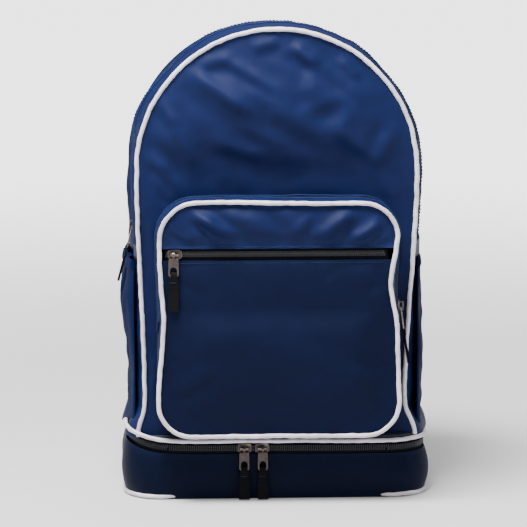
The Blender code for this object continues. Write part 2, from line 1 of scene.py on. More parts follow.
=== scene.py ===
import math
import bpy
import bmesh
import numpy as np
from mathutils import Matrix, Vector


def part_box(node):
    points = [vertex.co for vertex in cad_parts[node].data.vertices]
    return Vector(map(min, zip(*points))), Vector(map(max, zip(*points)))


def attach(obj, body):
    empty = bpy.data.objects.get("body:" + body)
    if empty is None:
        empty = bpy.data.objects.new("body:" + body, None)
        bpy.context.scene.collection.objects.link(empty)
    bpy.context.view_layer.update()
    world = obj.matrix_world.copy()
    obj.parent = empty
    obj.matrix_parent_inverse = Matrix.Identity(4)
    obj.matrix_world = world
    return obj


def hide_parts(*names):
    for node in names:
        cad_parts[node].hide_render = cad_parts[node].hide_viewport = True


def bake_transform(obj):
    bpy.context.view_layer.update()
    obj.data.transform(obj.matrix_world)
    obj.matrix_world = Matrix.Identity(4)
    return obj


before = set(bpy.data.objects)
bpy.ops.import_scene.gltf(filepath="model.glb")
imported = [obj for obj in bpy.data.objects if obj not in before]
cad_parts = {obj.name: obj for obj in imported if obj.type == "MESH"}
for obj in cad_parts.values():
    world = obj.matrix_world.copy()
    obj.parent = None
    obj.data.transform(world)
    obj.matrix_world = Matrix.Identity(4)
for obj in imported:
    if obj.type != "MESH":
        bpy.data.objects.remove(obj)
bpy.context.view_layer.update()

MM = 0.001
HALF_W, SPRING, SEAM, FOLD = 141.0, 332.0, 59.3, 312.0
Y_FRONT, Y_BACK, ZIP_Y, ZIP_END = -75.0, 75.0, -22.0, 256.0
PFOLD, PZY, PY = 185.0, -97.0, -118.0


# ================================================================ materials
def nodes_of(name):
    m = bpy.data.materials.new(name)
    m.use_nodes = True
    nt = m.node_tree
    return m, nt, nt.nodes["Principled BSDF"]


def new(nt, kind, **values):
    n = nt.nodes.new(kind)
    for k, v in values.items():
        setattr(n, k, v)
    return n


def noise(nt, vec, scale, detail=3.0, rough=0.55):
    n = new(nt, "ShaderNodeTexNoise")
    n.inputs["Scale"].default_value = scale
    n.inputs["Detail"].default_value = detail
    n.inputs["Roughness"].default_value = rough
    nt.links.new(vec, n.inputs["Vector"])
    return n.outputs["Fac"]


def wave(nt, vec, period, direction, distortion=0.0):
    n = new(nt, "ShaderNodeTexWave", wave_type="BANDS", bands_direction=direction)
    n.inputs["Scale"].default_value = math.pi / 10.0 / period
    n.inputs["Distortion"].default_value = distortion
    n.inputs["Detail"].default_value = 1.0
    nt.links.new(vec, n.inputs["Vector"])
    return n.outputs["Fac"]


def maths(nt, op, a, b=None, clamp=False):
    n = new(nt, "ShaderNodeMath", operation=op, use_clamp=clamp)
    for i, v in enumerate((a, b)):
        if v is None:
            continue
        if isinstance(v, (int, float)):
            n.inputs[i].default_value = v
        else:
            nt.links.new(v, n.inputs[i])
    return n.outputs[0]


def ramp(nt, fac, stops):
    n = new(nt, "ShaderNodeValToRGB")
    els = n.color_ramp.elements
    els[0].position, els[0].color = stops[0][0], (*stops[0][1], 1)
    els[1].position, els[1].color = stops[-1][0], (*stops[-1][1], 1)
    for pos, col in stops[1:-1]:
        e = els.new(pos)
        e.color = (*col, 1)
    nt.links.new(fac, n.inputs["Fac"])
    return n.outputs["Color"]


def mix(nt, fac, a, b, blend="MIX"):
    n = new(nt, "ShaderNodeMix", data_type="RGBA", blend_type=blend)
    for i, v in ((0, fac), (6, a), (7, b)):
        if isinstance(v, (int, float)):
            n.inputs[i].default_value = v
        elif isinstance(v, tuple):
            n.inputs[i].default_value = (*v, 1)
        else:
            nt.links.new(v, n.inputs[i])
    return n.outputs[2]


def bump(nt, shader, height, strength, distance, normal=None):
    n = new(nt, "ShaderNodeBump")
    n.inputs["Strength"].default_value = strength
    n.inputs["Distance"].default_value = distance
    nt.links.new(height, n.inputs["Height"])
    if normal is not None:
        nt.links.new(normal, n.inputs["Normal"])
    nt.links.new(n.outputs["Normal"], shader.inputs["Normal"])
    return n.outputs["Normal"]


def seam_value(nt):
    n = new(nt, "ShaderNodeAttribute", attribute_name="seam")
    return n.outputs["Fac"]


def cloth_material(name, dark, light, thread=0.0009, rough=(0.42, 0.62), sheen=0.25, sheen_tint=(0.35, 0.5, 0.9), specular=0.4, depth=0.00018, worn=None):
    m, nt, sh = nodes_of(name)
    tc = new(nt, "ShaderNodeTexCoord")
    obj, uv = tc.outputs["Object"], tc.outputs["UV"]
    big = noise(nt, obj, 9.0, 4.0)
    mid_n = noise(nt, obj, 60.0, 3.0)
    fac = maths(nt, "ADD", maths(nt, "MULTIPLY", big, 0.65), maths(nt, "MULTIPLY", mid_n, 0.35))
    col = ramp(nt, fac, [(0.3, dark), (0.72, light)])
    warp, weft = wave(nt, uv, thread, "X"), wave(nt, uv, thread, "Y")
    over = maths(nt, "MULTIPLY", warp, weft)
    fleck = noise(nt, uv, 1400.0, 1.0)
    cell = maths(nt, "ADD", maths(nt, "MULTIPLY", over, 0.6), maths(nt, "MULTIPLY", fleck, 0.4))
    col = mix(nt, 0.35, col, ramp(nt, cell, [(0.15, tuple(c * 0.6 for c in dark)), (0.75, tuple(min(1, c * 1.5) for c in light))]))
    if worn:
        scuff = maths(nt, "MULTIPLY", seam_value(nt), noise(nt, obj, 220.0, 4.0), True)
        col = mix(nt, maths(nt, "MULTIPLY", scuff, 0.6), col, worn)
    nt.links.new(col, sh.inputs["Base Color"])
    r = new(nt, "ShaderNodeMapRange")
    r.inputs["To Min"].default_value, r.inputs["To Max"].default_value = rough
    nt.links.new(maths(nt, "ADD", maths(nt, "MULTIPLY", mid_n, 0.6), maths(nt, "MULTIPLY", cell, 0.4)), r.inputs["Value"])
    nt.links.new(r.outputs[0], sh.inputs["Roughness"])
    sh.inputs["Specular IOR Level"].default_value = specular
    sh.inputs["Sheen Weight"].default_value = sheen
    sh.inputs["Sheen Roughness"].default_value = 0.35
    sh.inputs["Sheen Tint"].default_value = (*sheen_tint, 1)
    soft = bump(nt, sh, noise(nt, obj, 45.0, 3.0), 0.35, 0.0012)
    bump(nt, sh, cell, 0.5, depth, soft)
    return m


def rib_material(name, dark, light, period, along=0.0011, rough=0.75, depth=0.0004):
    """Webbing, ribbon and zip tape: ribs across with a fine weave along."""
    m, nt, sh = nodes_of(name)
    tc = new(nt, "ShaderNodeTexCoord")
    uv, obj = tc.outputs["UV"], tc.outputs["Object"]
    ribs, fine = wave(nt, uv, period, "Y", 0.3), wave(nt, uv, along, "X")
    h = maths(nt, "ADD", maths(nt, "MULTIPLY", ribs, 0.7), maths(nt, "MULTIPLY", fine, 0.3))
    dust = noise(nt, obj, 130.0, 4.0)
    col = ramp(nt, maths(nt, "ADD", maths(nt, "MULTIPLY", h, 0.6), maths(nt, "MULTIPLY", dust, 0.4)), [(0.2, dark), (0.8, light)])
    nt.links.new(col, sh.inputs["Base Color"])
    sh.inputs["Roughness"].default_value = rough
    sh.inputs["Specular IOR Level"].default_value = 0.07
    sh.inputs["Sheen Weight"].default_value = 0.0
    sh.inputs["Sheen Roughness"].default_value = 0.5
    bump(nt, sh, h, 0.6, depth)
    return m


def piping_material():
    m, nt, sh = nodes_of("piping_white")
    tc = new(nt, "ShaderNodeTexCoord")
    obj, uv = tc.outputs["Object"], tc.outputs["UV"]
    dirt = noise(nt, obj, 38.0, 5.0, 0.65)
    fine = noise(nt, obj, 420.0, 3.0)
    col = ramp(nt, dirt, [(0.30, (0.44, 0.39, 0.43)), (0.52, (0.62, 0.58, 0.63)), (0.8, (0.74, 0.70, 0.75))])
    col = mix(nt, maths(nt, "MULTIPLY", seam_value(nt), 0.55), col, (0.30, 0.28, 0.36))
    nt.links.new(col, sh.inputs["Base Color"])
    r = new(nt, "ShaderNodeMapRange")
    r.inputs["To Min"].default_value, r.inputs["To Max"].default_value = 0.32, 0.55
    nt.links.new(dirt, r.inputs["Value"])
    nt.links.new(r.outputs[0], sh.inputs["Roughness"])
    sh.inputs["Subsurface Weight"].default_value = 0.08
    sh.inputs["Subsurface Scale"].default_value = 0.002
    sh.inputs["Coat Weight"].default_value = 0.12
    sh.inputs["Coat Roughness"].default_value = 0.3
    soft = bump(nt, sh, fine, 0.25, 0.0002)
    bump(nt, sh, wave(nt, uv, 0.0042, "X", 0.6), 0.18, 0.0003, soft)
    return m


def metal_material():
    m, nt, sh = nodes_of("gunmetal_worn")
    tc = new(nt, "ShaderNodeTexCoord")
    obj = tc.outputs["Object"]
    grain, spots = noise(nt, obj, 900.0, 4.0), noise(nt, obj, 160.0, 5.0, 0.7)
    bev = new(nt, "ShaderNodeNewGeometry")
    edge = ramp(nt, bev.outputs["Pointiness"], [(0.50, (0, 0, 0)), (0.58, (1, 1, 1))])
    col = ramp(nt, spots, [(0.30, (0.020, 0.014, 0.014)), (0.55, (0.045, 0.034, 0.033)), (0.8, (0.085, 0.066, 0.062))])
    col = mix(nt, edge, col, (0.20, 0.165, 0.145))
    nt.links.new(col, sh.inputs["Base Color"])
    sh.inputs["Metallic"].default_value = 0.9
    r = new(nt, "ShaderNodeMapRange")
    r.inputs["To Min"].default_value, r.inputs["To Max"].default_value = 0.25, 0.48
    nt.links.new(grain, r.inputs["Value"])
    nt.links.new(r.outputs[0], sh.inputs["Roughness"])
    bump(nt, sh, grain, 0.2, 0.0001)
    return m


def plastic_material(name, dark, light, rough=0.42):
    m, nt, sh = nodes_of(name)
    tc = new(nt, "ShaderNodeTexCoord")
    obj = tc.outputs["Object"]
    n1, n2 = noise(nt, obj, 300.0, 4.0), noise(nt, obj, 40.0, 4.0)
    nt.links.new(ramp(nt, n2, [(0.3, dark), (0.75, light)]), sh.inputs["Base Color"])
    r = new(nt, "ShaderNodeMapRange")
    r.inputs["To Min"].default_value, r.inputs["To Max"].default_value = rough - 0.08, rough + 0.12
    nt.links.new(n1, r.inputs["Value"])
    nt.links.new(r.outputs[0], sh.inputs["Roughness"])
    bump(nt, sh, n1, 0.3, 0.00012)
    return m


def mesh_material():
    """Black air mesh: small holes in a knitted sheet over foam."""
    m, nt, sh = nodes_of("air_mesh")
    tc = new(nt, "ShaderNodeTexCoord")
    uv, obj = tc.outputs["UV"], tc.outputs["Object"]
    vor = new(nt, "ShaderNodeTexVoronoi", feature="F1")
    vor.inputs["Scale"].default_value = 520.0
    vor.inputs["Randomness"].default_value = 0.15
    nt.links.new(uv, vor.inputs["Vector"])
    d = vor.outputs["Distance"]
    col = ramp(nt, d, [(0.12, (0.001, 0.001, 0.002)), (0.45, (0.009, 0.010, 0.014))])
    col = mix(nt, maths(nt, "MULTIPLY", noise(nt, obj, 25.0, 4.0), 0.4), col, (0.013, 0.014, 0.020))
    nt.links.new(col, sh.inputs["Base Color"])
    sh.inputs["Roughness"].default_value = 0.82
    sh.inputs["Specular IOR Level"].default_value = 0.12
    bump(nt, sh, d, 0.7, 0.0006)
    return m


NAVY = cloth_material("navy_polyester", (0.0022, 0.0050, 0.0280), (0.0050, 0.0112, 0.056), rough=(0.48, 0.62), sheen=0.0, specular=0.08, worn=(0.016, 0.034, 0.12))
# Rougher, less specular navy for the gussets and side pockets; its colour is also a little darker than the navy cloth,
# as painted shade.
NAVY_SIDE_PAINTED_SHADE = cloth_material("navy_polyester_side_painted_shade", (0.0020, 0.0048, 0.0265), (0.0045, 0.0105, 0.052), rough=(0.64, 0.78), sheen=0.0, specular=0.03, worn=(0.014, 0.030, 0.10))
# A darker copy of the navy cloth, about half its albedo: painted shade for the lower pocket face.
NAVY_LOW_PAINTED_SHADE = cloth_material("navy_polyester_low_painted_shade", (0.0009, 0.0025, 0.0140), (0.0018, 0.0049, 0.0260), rough=(0.52, 0.66), sheen=0.0, specular=0.07, worn=(0.008, 0.016, 0.055))
NAVY_DARK = cloth_material("navy_polyester_base", (0.0010, 0.0024, 0.0105), (0.0022, 0.0048, 0.019), rough=(0.46, 0.58), sheen=0.0, specular=0.05, worn=(0.008, 0.014, 0.04))
LINING = cloth_material("lining_cloth", (0.018, 0.021, 0.030), (0.032, 0.036, 0.050), rough=(0.6, 0.8), sheen=0.05, specular=0.25)
TAPE = rib_material("zip_tape", (0.0010, 0.0013, 0.0030), (0.0032, 0.0038, 0.0080), 0.0013)
COIL = plastic_material("coil_teeth", (0.004, 0.005, 0.007), (0.012, 0.013, 0.017), 0.36)
RIBBON = rib_material("pull_ribbon", (0.0012, 0.0012, 0.0020), (0.0042, 0.0042, 0.0060), 0.0017)
WEBBING = rib_material("webbing", (0.0025, 0.0025, 0.0040), (0.0085, 0.0085, 0.0120), 0.0022, depth=0.0006)
BINDING = rib_material("edge_binding", (0.0022, 0.0045, 0.0170), (0.0052, 0.0100, 0.0340), 0.0015)
THREAD = rib_material("thread", (0.006, 0.012, 0.035), (0.018, 0.034, 0.085), 0.0006, depth=0.0001)
PIPING = piping_material()
METAL = metal_material()
PLASTIC = plastic_material("adjuster_plastic", (0.006, 0.006, 0.007), (0.016, 0.016, 0.018))
MESH = mesh_material()
BOARD = plastic_material("stiff_board", (0.03, 0.03, 0.032), (0.055, 0.055, 0.058), 0.6)


# ================================================================ mesh makers
def wavy(p, scale, seed, octaves=3):
    """Smooth repeatable variation between about -1 and 1, at points p in mm."""
    rng = np.random.RandomState(seed)
    total, amp = np.zeros(p.shape[:-1]), 1.0
    for o in range(octaves):
        for _ in range(5):
            d = rng.normal(size=3)
            d /= np.linalg.norm(d)
            f = 2 * math.pi / scale * (2 ** o) * rng.uniform(0.75, 1.3)
            total += amp * np.sin(p @ d * f + rng.uniform(0, 6.28))
        amp *= 0.5
    return total / 3.6


def fold(a, b, a0, b0, a1, b1, width, height, taper=0.35):
    """A rounded ridge along a line from (a0, b0) to (a1, b1), fading towards its ends."""
    dx, dy = a1 - a0, b1 - b0
    length2 = dx * dx + dy * dy
    t = ((a - a0) * dx + (b - b0) * dy) / length2
    tc = np.clip(t, 0, 1)
    dist = np.hypot(a - (a0 + tc * dx), b - (b0 + tc * dy))
    side = ((a - a0) * dy - (b - b0) * dx) / math.sqrt(length2)
    fade = np.clip(t / taper, 0, 1) * np.clip((1 - t) / taper, 0, 1)
    fade = fade * fade * (3 - 2 * fade)
    shape = np.exp(-(dist / width) ** 2) - 0.45 * np.exp(-((side - 1.5 * width) / width) ** 2) * (np.abs(t - 0.5) < 0.5)
    return height * fade * shape


def smooth(x, lo, hi):
    t = np.clip((x - lo) / (hi - lo), 0, 1)
    return t * t * (3 - 2 * t)


def finish_mesh(name, bm, mat, smooth_shade=True):
    me = bpy.data.meshes.new(name)
    bm.to_mesh(me)
    bm.free()
    ob = bpy.data.objects.new(name, me)
    bpy.context.scene.collection.objects.link(ob)
    me.materials.append(mat)
    if smooth_shade:
        me.shade_smooth()
    return ob


def from_arrays(name, verts, faces, mat, uvs=None, seam=None, smooth_shade=True):
    me = bpy.data.meshes.new(name)
    me.from_pydata([tuple(v) for v in verts * MM], [], [tuple(int(i) for i in f) for f in faces])
    me.update()
    if uvs is not None:
        layer = me.uv_layers.new(name="UVMap")
        loops = np.zeros(len(me.loops), np.int64)
        me.loops.foreach_get("vertex_index", loops)
        layer.data.foreach_set("uv", (uvs[loops] * MM).astype(np.float32).ravel())
    if seam is not None:
        at = me.attributes.new("seam", "FLOAT", "POINT")
        at.data.foreach_set("value", seam.astype(np.float32))
    ob = bpy.data.objects.new(name, me)
    bpy.context.scene.collection.objects.link(ob)
    me.materials.append(mat)
    if smooth_shade:
        me.shade_smooth()
    return ob


def sheet_mesh(name, p, mat, thick=1.6, seam=None, out=None, loop_u=False):
    """p: (nu, nv, 3) in mm. Gives a closed sheet of that thickness, its given face outward. out points outward."""
    p = np.asarray(p, float)
    nu, nv = p.shape[:2]
    du = np.roll(p, -1, 0) - np.roll(p, 1, 0) if loop_u else np.gradient(p, axis=0)
    dv = np.gradient(p, axis=1)
    n = np.cross(du, dv)
    n /= np.maximum(np.linalg.norm(n, axis=-1, keepdims=True), 1e-9)
    ref = (p - np.array([0, 0, 240.0])) if out is None else np.broadcast_to(np.array(out, float), p.shape)
    flip = np.sum(n * ref) < 0
    if flip:
        n = -n
    back = p - n * thick
    verts = np.concatenate([p.reshape(-1, 3), back.reshape(-1, 3)])
    lu = np.concatenate([[0], np.cumsum(np.linalg.norm(np.diff(p[:, nv // 2], axis=0), axis=1))])
    lv = np.concatenate([[0], np.cumsum(np.linalg.norm(np.diff(p[nu // 2], axis=0), axis=1))])
    uv = np.stack(np.meshgrid(lu, lv, indexing="ij"), -1).reshape(-1, 2)
    uv = np.concatenate([uv, uv])
    idx = np.arange(nu * nv).reshape(nu, nv)
    rows = np.arange(nu if loop_u else nu - 1)
    a, b = idx[rows][:, :-1], idx[(rows + 1) % nu][:, :-1]
    c, d = idx[(rows + 1) % nu][:, 1:], idx[rows][:, 1:]
    front = np.stack([a, b, c, d], -1).reshape(-1, 4)
    if flip:
        front = front[:, ::-1]
    off = nu * nv
    faces = [front, front[:, ::-1] + off]

    def rim(line, wrap=False):
        l0, l1 = line[:-1], line[1:]
        if wrap:
            l0, l1 = line, np.roll(line, -1)
        return np.stack([l0, l1, l1 + off, l0 + off], -1)
    rims = [rim(idx[:, 0], loop_u), rim(idx[:, -1][::-1], loop_u)]
    if not loop_u:
        rims += [rim(idx[-1, :]), rim(idx[0, :][::-1])]
    rims = np.concatenate(rims)
    if not flip:
        pass
    faces.append(rims if not flip else rims[:, ::-1])
    s = None
    if seam is not None:
        s = np.concatenate([seam.reshape(-1), seam.reshape(-1) * 0])
    ob = from_arrays(name, verts, np.concatenate(faces), mat, uv, s if s is not None else np.zeros(len(verts)))
    bm = bmesh.new()
    bm.from_mesh(ob.data)
    bmesh.ops.recalc_face_normals(bm, faces=bm.faces)
    bm.to_mesh(ob.data)
    bm.free()
    ob.data.shade_smooth()
    ob.data.set_sharp_from_angle(angle=math.radians(55))
    return ob


def tube(name, path, radius, mat, sides=10, closed=False, flat=1.0, seam=None, spin=0.0, up=None):
    """A tube of that radius (or one radius per point) along path, in mm. flat squeezes it along its second axis."""
    path = np.asarray(path, float)
    n = len(path)
    tang = (np.roll(path, -1, 0) - np.roll(path, 1, 0)) if closed else np.gradient(path, axis=0)
    tang /= np.linalg.norm(tang, axis=1, keepdims=True)
    rad = np.broadcast_to(np.asarray(radius, float), (n,))
    ref = np.array([0, 1.0, 0]) if up is None else np.array(up, float)
    side = np.cross(tang, ref)
    side /= np.maximum(np.linalg.norm(side, axis=1, keepdims=True), 1e-9)
    top = np.cross(side, tang)
    ang = np.linspace(0, 2 * math.pi, sides, endpoint=False) + spin
    ring = (side[:, None] * np.cos(ang)[None, :, None] + top[:, None] * (np.sin(ang) * flat)[None, :, None]) * rad[:, None, None]
    verts = (path[:, None] + ring).reshape(-1, 3)
    idx = np.arange(n * sides).reshape(n, sides)
    rows = np.arange(n if closed else n - 1)
    a, b = idx[rows], idx[(rows + 1) % n]
    quads = np.stack([a, np.roll(a, -1, 1), np.roll(b, -1, 1), b], -1).reshape(-1, 4)
    lu = np.concatenate([[0], np.cumsum(np.linalg.norm(np.diff(path, axis=0), axis=1))])
    uv = np.stack(np.meshgrid(lu, np.arange(sides) * 2.0, indexing="ij"), -1).reshape(-1, 2)
    faces = [list(q) for q in quads]
    if not closed:
        faces += [list(idx[0]), list(idx[-1][::-1])]
    s = np.zeros(len(verts)) if seam is None else np.repeat(seam, sides)
    me = bpy.data.meshes.new(name)
    me.from_pydata([tuple(v) for v in verts * MM], [], [tuple(int(i) for i in f) for f in faces])
    layer = me.uv_layers.new(name="UVMap")
    loops = np.zeros(len(me.loops), np.int64)
    me.loops.foreach_get("vertex_index", loops)
    layer.data.foreach_set("uv", (uv[loops] * MM).astype(np.float32).ravel())
    me.attributes.new("seam", "FLOAT", "POINT").data.foreach_set("value", s.astype(np.float32))
    ob = bpy.data.objects.new(name, me)
    bpy.context.scene.collection.objects.link(ob)
    me.materials.append(mat)
    bm = bmesh.new()
    bm.from_mesh(me)
    bmesh.ops.recalc_face_normals(bm, faces=bm.faces)
    bm.to_mesh(me)
    bm.free()
    me.shade_smooth()
    me.set_sharp_from_angle(angle=math.radians(60))
    return ob


def resample(path, step):
    path = np.asarray(path, float)
    seg = np.linalg.norm(np.diff(path, axis=0), axis=1)
    s = np.concatenate([[0], np.cumsum(seg)])
    n = max(2, int(round(s[-1] / step)) + 1)
    t = np.linspace(0, s[-1], n)
    return np.stack([np.interp(t, s, path[:, i]) for i in range(3)], -1)


def rounded_blocks(name, centres, along, across, normal, size, mat):
    """Many small rounded teeth or stitches in one mesh. size is (along, across, height) in mm."""
    la, lc, lh = (x / 2 for x in size)
    shape = []
    for h, k in ((-1, 0.6), (0, 1.0), (1, 0.6)):
        for u, w in ((-0.6, -1), (0.6, -1), (1, -0.6), (1, 0.6), (0.6, 1), (-0.6, 1), (-1, 0.6), (-1, -0.6)):
            shape.append((u * la * k, w * lc * (0.8 + 0.2 * k), h * lh))
    shape = np.array(shape)
    v = (centres[:, None] + along[:, None] * shape[None, :, 0:1] + across[:, None] * shape[None, :, 1:2] + normal[:, None] * shape[None, :, 2:3]).reshape(-1, 3)
    one = []
    for r in range(2):
        for i in range(8):
            one.append((r * 8 + i, r * 8 + (i + 1) % 8, (r + 1) * 8 + (i + 1) % 8, (r + 1) * 8 + i))
    caps = [tuple(range(7, -1, -1)), tuple(range(16, 24))]
    faces = []
    for k in range(len(centres)):
        o = 24 * k
        faces += [tuple(o + i for i in f) for f in one] + [tuple(o + i for i in f) for f in caps]
    me = bpy.data.meshes.new(name)
    me.from_pydata([tuple(x) for x in v * MM], [], faces)
    me.uv_layers.new(name="UVMap")
    me.attributes.new("seam", "FLOAT", "POINT")
    ob = bpy.data.objects.new(name, me)
    bpy.context.scene.collection.objects.link(ob)
    me.materials.append(mat)
    bm = bmesh.new()
    bm.from_mesh(me)
    bmesh.ops.recalc_face_normals(bm, faces=bm.faces)
    bm.to_mesh(me)
    bm.free()
    me.shade_smooth()
    me.set_sharp_from_angle(angle=math.radians(50))
    return ob


def path_frames(path, normals):
    tang = np.gradient(path, axis=0)
    tang /= np.linalg.norm(tang, axis=1, keepdims=True)
    n = normals - tang * np.sum(normals * tang, axis=1, keepdims=True)
    n /= np.linalg.norm(n, axis=1, keepdims=True)
    return tang, np.cross(n, tang), n


def stitches(name, path, normals, pitch=3.6, mat=None):
    """A row of thread stitches lying on a path, each a small rounded bead."""
    seg = np.linalg.norm(np.diff(path, axis=0), axis=1)
    s = np.concatenate([[0], np.cumsum(seg)])
    t = np.arange(pitch, s[-1] - pitch / 2, pitch)
    c = np.stack([np.interp(t, s, path[:, i]) for i in range(3)], -1)
    n = np.stack([np.interp(t, s, normals[:, i]) for i in range(3)], -1)
    tang, across, nn = path_frames(c, n)
    return rounded_blocks(name, c + nn * 0.12, tang, across, nn, (2.5, 0.62, 0.6), mat or THREAD)


def teeth(name, path, toward, normals, pitch=2.1, lag=0.0):
    """One row of coil teeth: path is the chain's centre line, toward points to the row's own tape."""
    seg = np.linalg.norm(np.diff(path, axis=0), axis=1)
    s = np.concatenate([[0], np.cumsum(seg)])
    t = np.arange(lag + 0.6, s[-1] - 0.6, pitch)
    pick = lambda a: np.stack([np.interp(t, s, a[:, i]) for i in range(3)], -1)
    c, w, n = pick(path), pick(toward), pick(normals)
    w /= np.linalg.norm(w, axis=1, keepdims=True)
    tang, _, nn = path_frames(c, n)
    return rounded_blocks(name, c + w * 1.25, tang, w, nn, (1.15, 3.3, 2.1), COIL)


def on(piece, body, nodes=()):
    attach(piece, body)
    if nodes:
        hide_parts(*nodes)
    return piece


def bent(piece, a, b, start, end, slot=None, nodes=()):
    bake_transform(piece)
    if nodes:
        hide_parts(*nodes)
    return piece


MAIN_FOLD = ((0, -77, FOLD - 9), (0, -77, FOLD + 9))
POCKET_FOLD = ((0, -118, PFOLD - 7), (0, -118, PFOLD + 7))


# ================================================================ the main compartment's outer surface
def arch(s_low, n_leg, n_arc):
    """Points up the left leg, over the arch and down the right leg: (x, z, nx, nz)."""
    z = np.linspace(s_low, SPRING, n_leg, endpoint=False)
    left = np.stack([-HALF_W + z * 0, z, -1 + z * 0, z * 0], -1)
    ang = np.radians(np.linspace(180, 0, n_arc))
    top = np.stack([HALF_W * np.cos(ang), SPRING + HALF_W * np.sin(ang), np.cos(ang), np.sin(ang)], -1)
    right = left[::-1] * np.array([-1, 1, -1, 1])
    return np.concatenate([left, top, right])


def edge_inset(x, z):
    """How far the front edge is drawn in: the front tapers towards the foot and flares out again at the base seam."""
    left, right = 7.0, 11.0
    amount = np.where(x < 0, left, right)
    a = amount * smooth(330 - z, 0, 230)
    return a * (1 - 1.0 * smooth(98 - z, 0, 36))


def swell(x, z, y):
    """How far the side or top stands out from the plain outline at depth y."""
    v = np.clip((y - Y_FRONT) / (Y_BACK - 4 - Y_FRONT), 0, 1)
    crown = np.clip(4 * v * (1 - v), 0, None) ** 0.7
    side = smooth(np.abs(x), 60, 141)
    amount = 3.2 + 3.6 * side + 1.6 * side * np.sin(z / 41.0)
    return crown * amount - edge_inset(x, z) * (1 - smooth(v, 0, 0.45)) * np.clip(np.abs(x) / 141, 0, 1)


def main_surface(track, ys, wrinkle=1.0, seed=3, pinch=None):
    """Surface over the track at depths ys: (len(track), len(ys), 3)."""
    x, z, nx, nz = (track[:, i][:, None] for i in range(4))
    y = np.asarray(ys, float)[None, :] + x * 0
    d = swell(x + 0 * y, z + 0 * y, y)
    drawn = smooth(-x, 120, 139) * (1 - smooth(z, 330, 385)) * (1 - smooth(np.abs(y - ZIP_Y), 8, 44))
    d = d * (1 - drawn) + 0.15 * drawn
    d = d - 5.0 * smooth(y, -40, 66) * smooth(nz + 0 * y, 0.2, 1.0)
    wrinkle = wrinkle * (1 - 0.85 * drawn)
    s = np.concatenate([[0], np.cumsum(np.hypot(np.diff(track[:, 0]), np.diff(track[:, 1])))])[:, None] + 0 * y
    p0 = np.stack([x + 0 * y, y, z + 0 * y], -1)
    d = d + wrinkle * (1.5 * wavy(p0, 95, seed, 3) + 0.5 * wavy(p0, 38, seed + 5, 2) * smooth(y, ZIP_Y - 60, ZIP_Y + 16))
    near_front = np.exp(-(y - Y_FRONT) / 9.0)
    near_zip = np.exp(-np.abs(np.abs(y - ZIP_Y) - 8.0) / 6.0)
    d = d + wrinkle * (0.5 * near_front * np.sin(s / 3.1 + 1.3 * np.sin(s / 17.0)) + 0.2 * near_zip * np.sin(s / 2.7 + np.sin(s / 13.0)))
    return np.stack([x + nx * d, y, z + nz * d], -1)


tr = arch(ZIP_END, 24, 130)
ys = np.linspace(Y_FRONT - 0.4, ZIP_Y - 6.6, 18)
g = main_surface(tr, ys)
seam_v = np.broadcast_to((np.exp(-(ys - Y_FRONT) / 3.0) + np.exp(-(ZIP_Y - 6.6 - ys) / 3.0))[None, :], g.shape[:2])
bent(sheet_mesh("front_gusset_cloth", g, NAVY_SIDE_PAINTED_SHADE, 1.8, seam_v), "bag", "front_flap", *MAIN_FOLD, slot="navy_cloth", nodes=["front_flap_gusset"])
# a folded hem beside the zip, on the front strip and on the rear strip
for name, y0, y1, who in (("front_gusset_hem", ZIP_Y - 10.5, ZIP_Y - 6.2, "front"), ("rear_gusset_hem", ZIP_Y + 6.2, ZIP_Y + 10.5, "rear")):
    yy = np.linspace(y0, y1, 5)
    h = main_surface(tr, yy)
    lift = np.array([0.5, 1.1, 1.3, 1.1, 0.5])[None, :]
    h = h + np.stack([tr[:, 2], tr[:, 2] * 0, tr[:, 3]], -1)[:, None, :] * lift[..., None]
    ob = sheet_mesh(name, h, NAVY, 0.9, np.ones(h.shape[:2]) * 0.6)
    mid_line = h[:, 2] + np.stack([tr[:, 2], tr[:, 2] * 0, tr[:, 3]], -1) * 0.15
    st = stitches(name + "_stitches", resample(mid_line, 2.0), np.stack([np.interp(np.linspace(0, 1, len(resample(mid_line, 2.0))), np.linspace(0, 1, len(tr)), tr[:, 2]),
                  np.zeros(len(resample(mid_line, 2.0))), np.interp(np.linspace(0, 1, len(resample(mid_line, 2.0))), np.linspace(0, 1, len(tr)), tr[:, 3])], -1))
    for o in (ob, st):
        if who == "front":
            bent(o, "bag", "front_flap", *MAIN_FOLD, slot="navy_cloth")
        else:
            on(o, "bag")
ys = np.linspace(ZIP_Y + 6.6, Y_BACK - 6, 22)
g = main_surface(tr, ys)
seam_v = np.broadcast_to((np.exp(-(ys - ys[0]) / 3.0) + np.exp(-(ys[-1] - ys) / 3.0))[None, :], g.shape[:2])
on(sheet_mesh("rear_gusset_cloth", g, NAVY_SIDE_PAINTED_SHADE, 1.8, seam_v), "bag", ["rear_gusset"])

# zip chain and tapes of the main compartment
for name, sign, node in (("main_tape_front", -1, "main_zip_flap_tape"), ("main_tape_rear", 1, "main_zip_rear_tape")):
    yy = np.linspace(ZIP_Y + sign * 0.8, ZIP_Y + sign * 8.0, 5)
    t = main_surface(tr, yy, 0.5)
    nrm = np.stack([tr[:, 2], tr[:, 2] * 0, tr[:, 3]], -1)
    t = t - nrm[:, None, :] * 1.1
    ob = sheet_mesh(name, t, TAPE, 0.8)
    line = main_surface(tr, [ZIP_Y], 0.5)[:, 0] - nrm * 0.9
    pts = resample(line, 2.0)
    k = np.linspace(0, 1, len(pts))
    nn = np.stack([np.interp(k, np.linspace(0, 1, len(nrm)), nrm[:, i]) for i in range(3)], -1)
    tt = teeth(name + "_teeth", pts, np.broadcast_to(np.array([0, float(sign), 0]), pts.shape).copy(), nn, lag=0.0 if sign < 0 else 1.05)
    for o in (ob, tt):
        if sign < 0:
            bent(o, "bag", "front_flap", *MAIN_FOLD, slot="zip_tape", nodes=[node] if o is ob else ())
        else:
            on(o, "bag", [node] if o is ob else ())

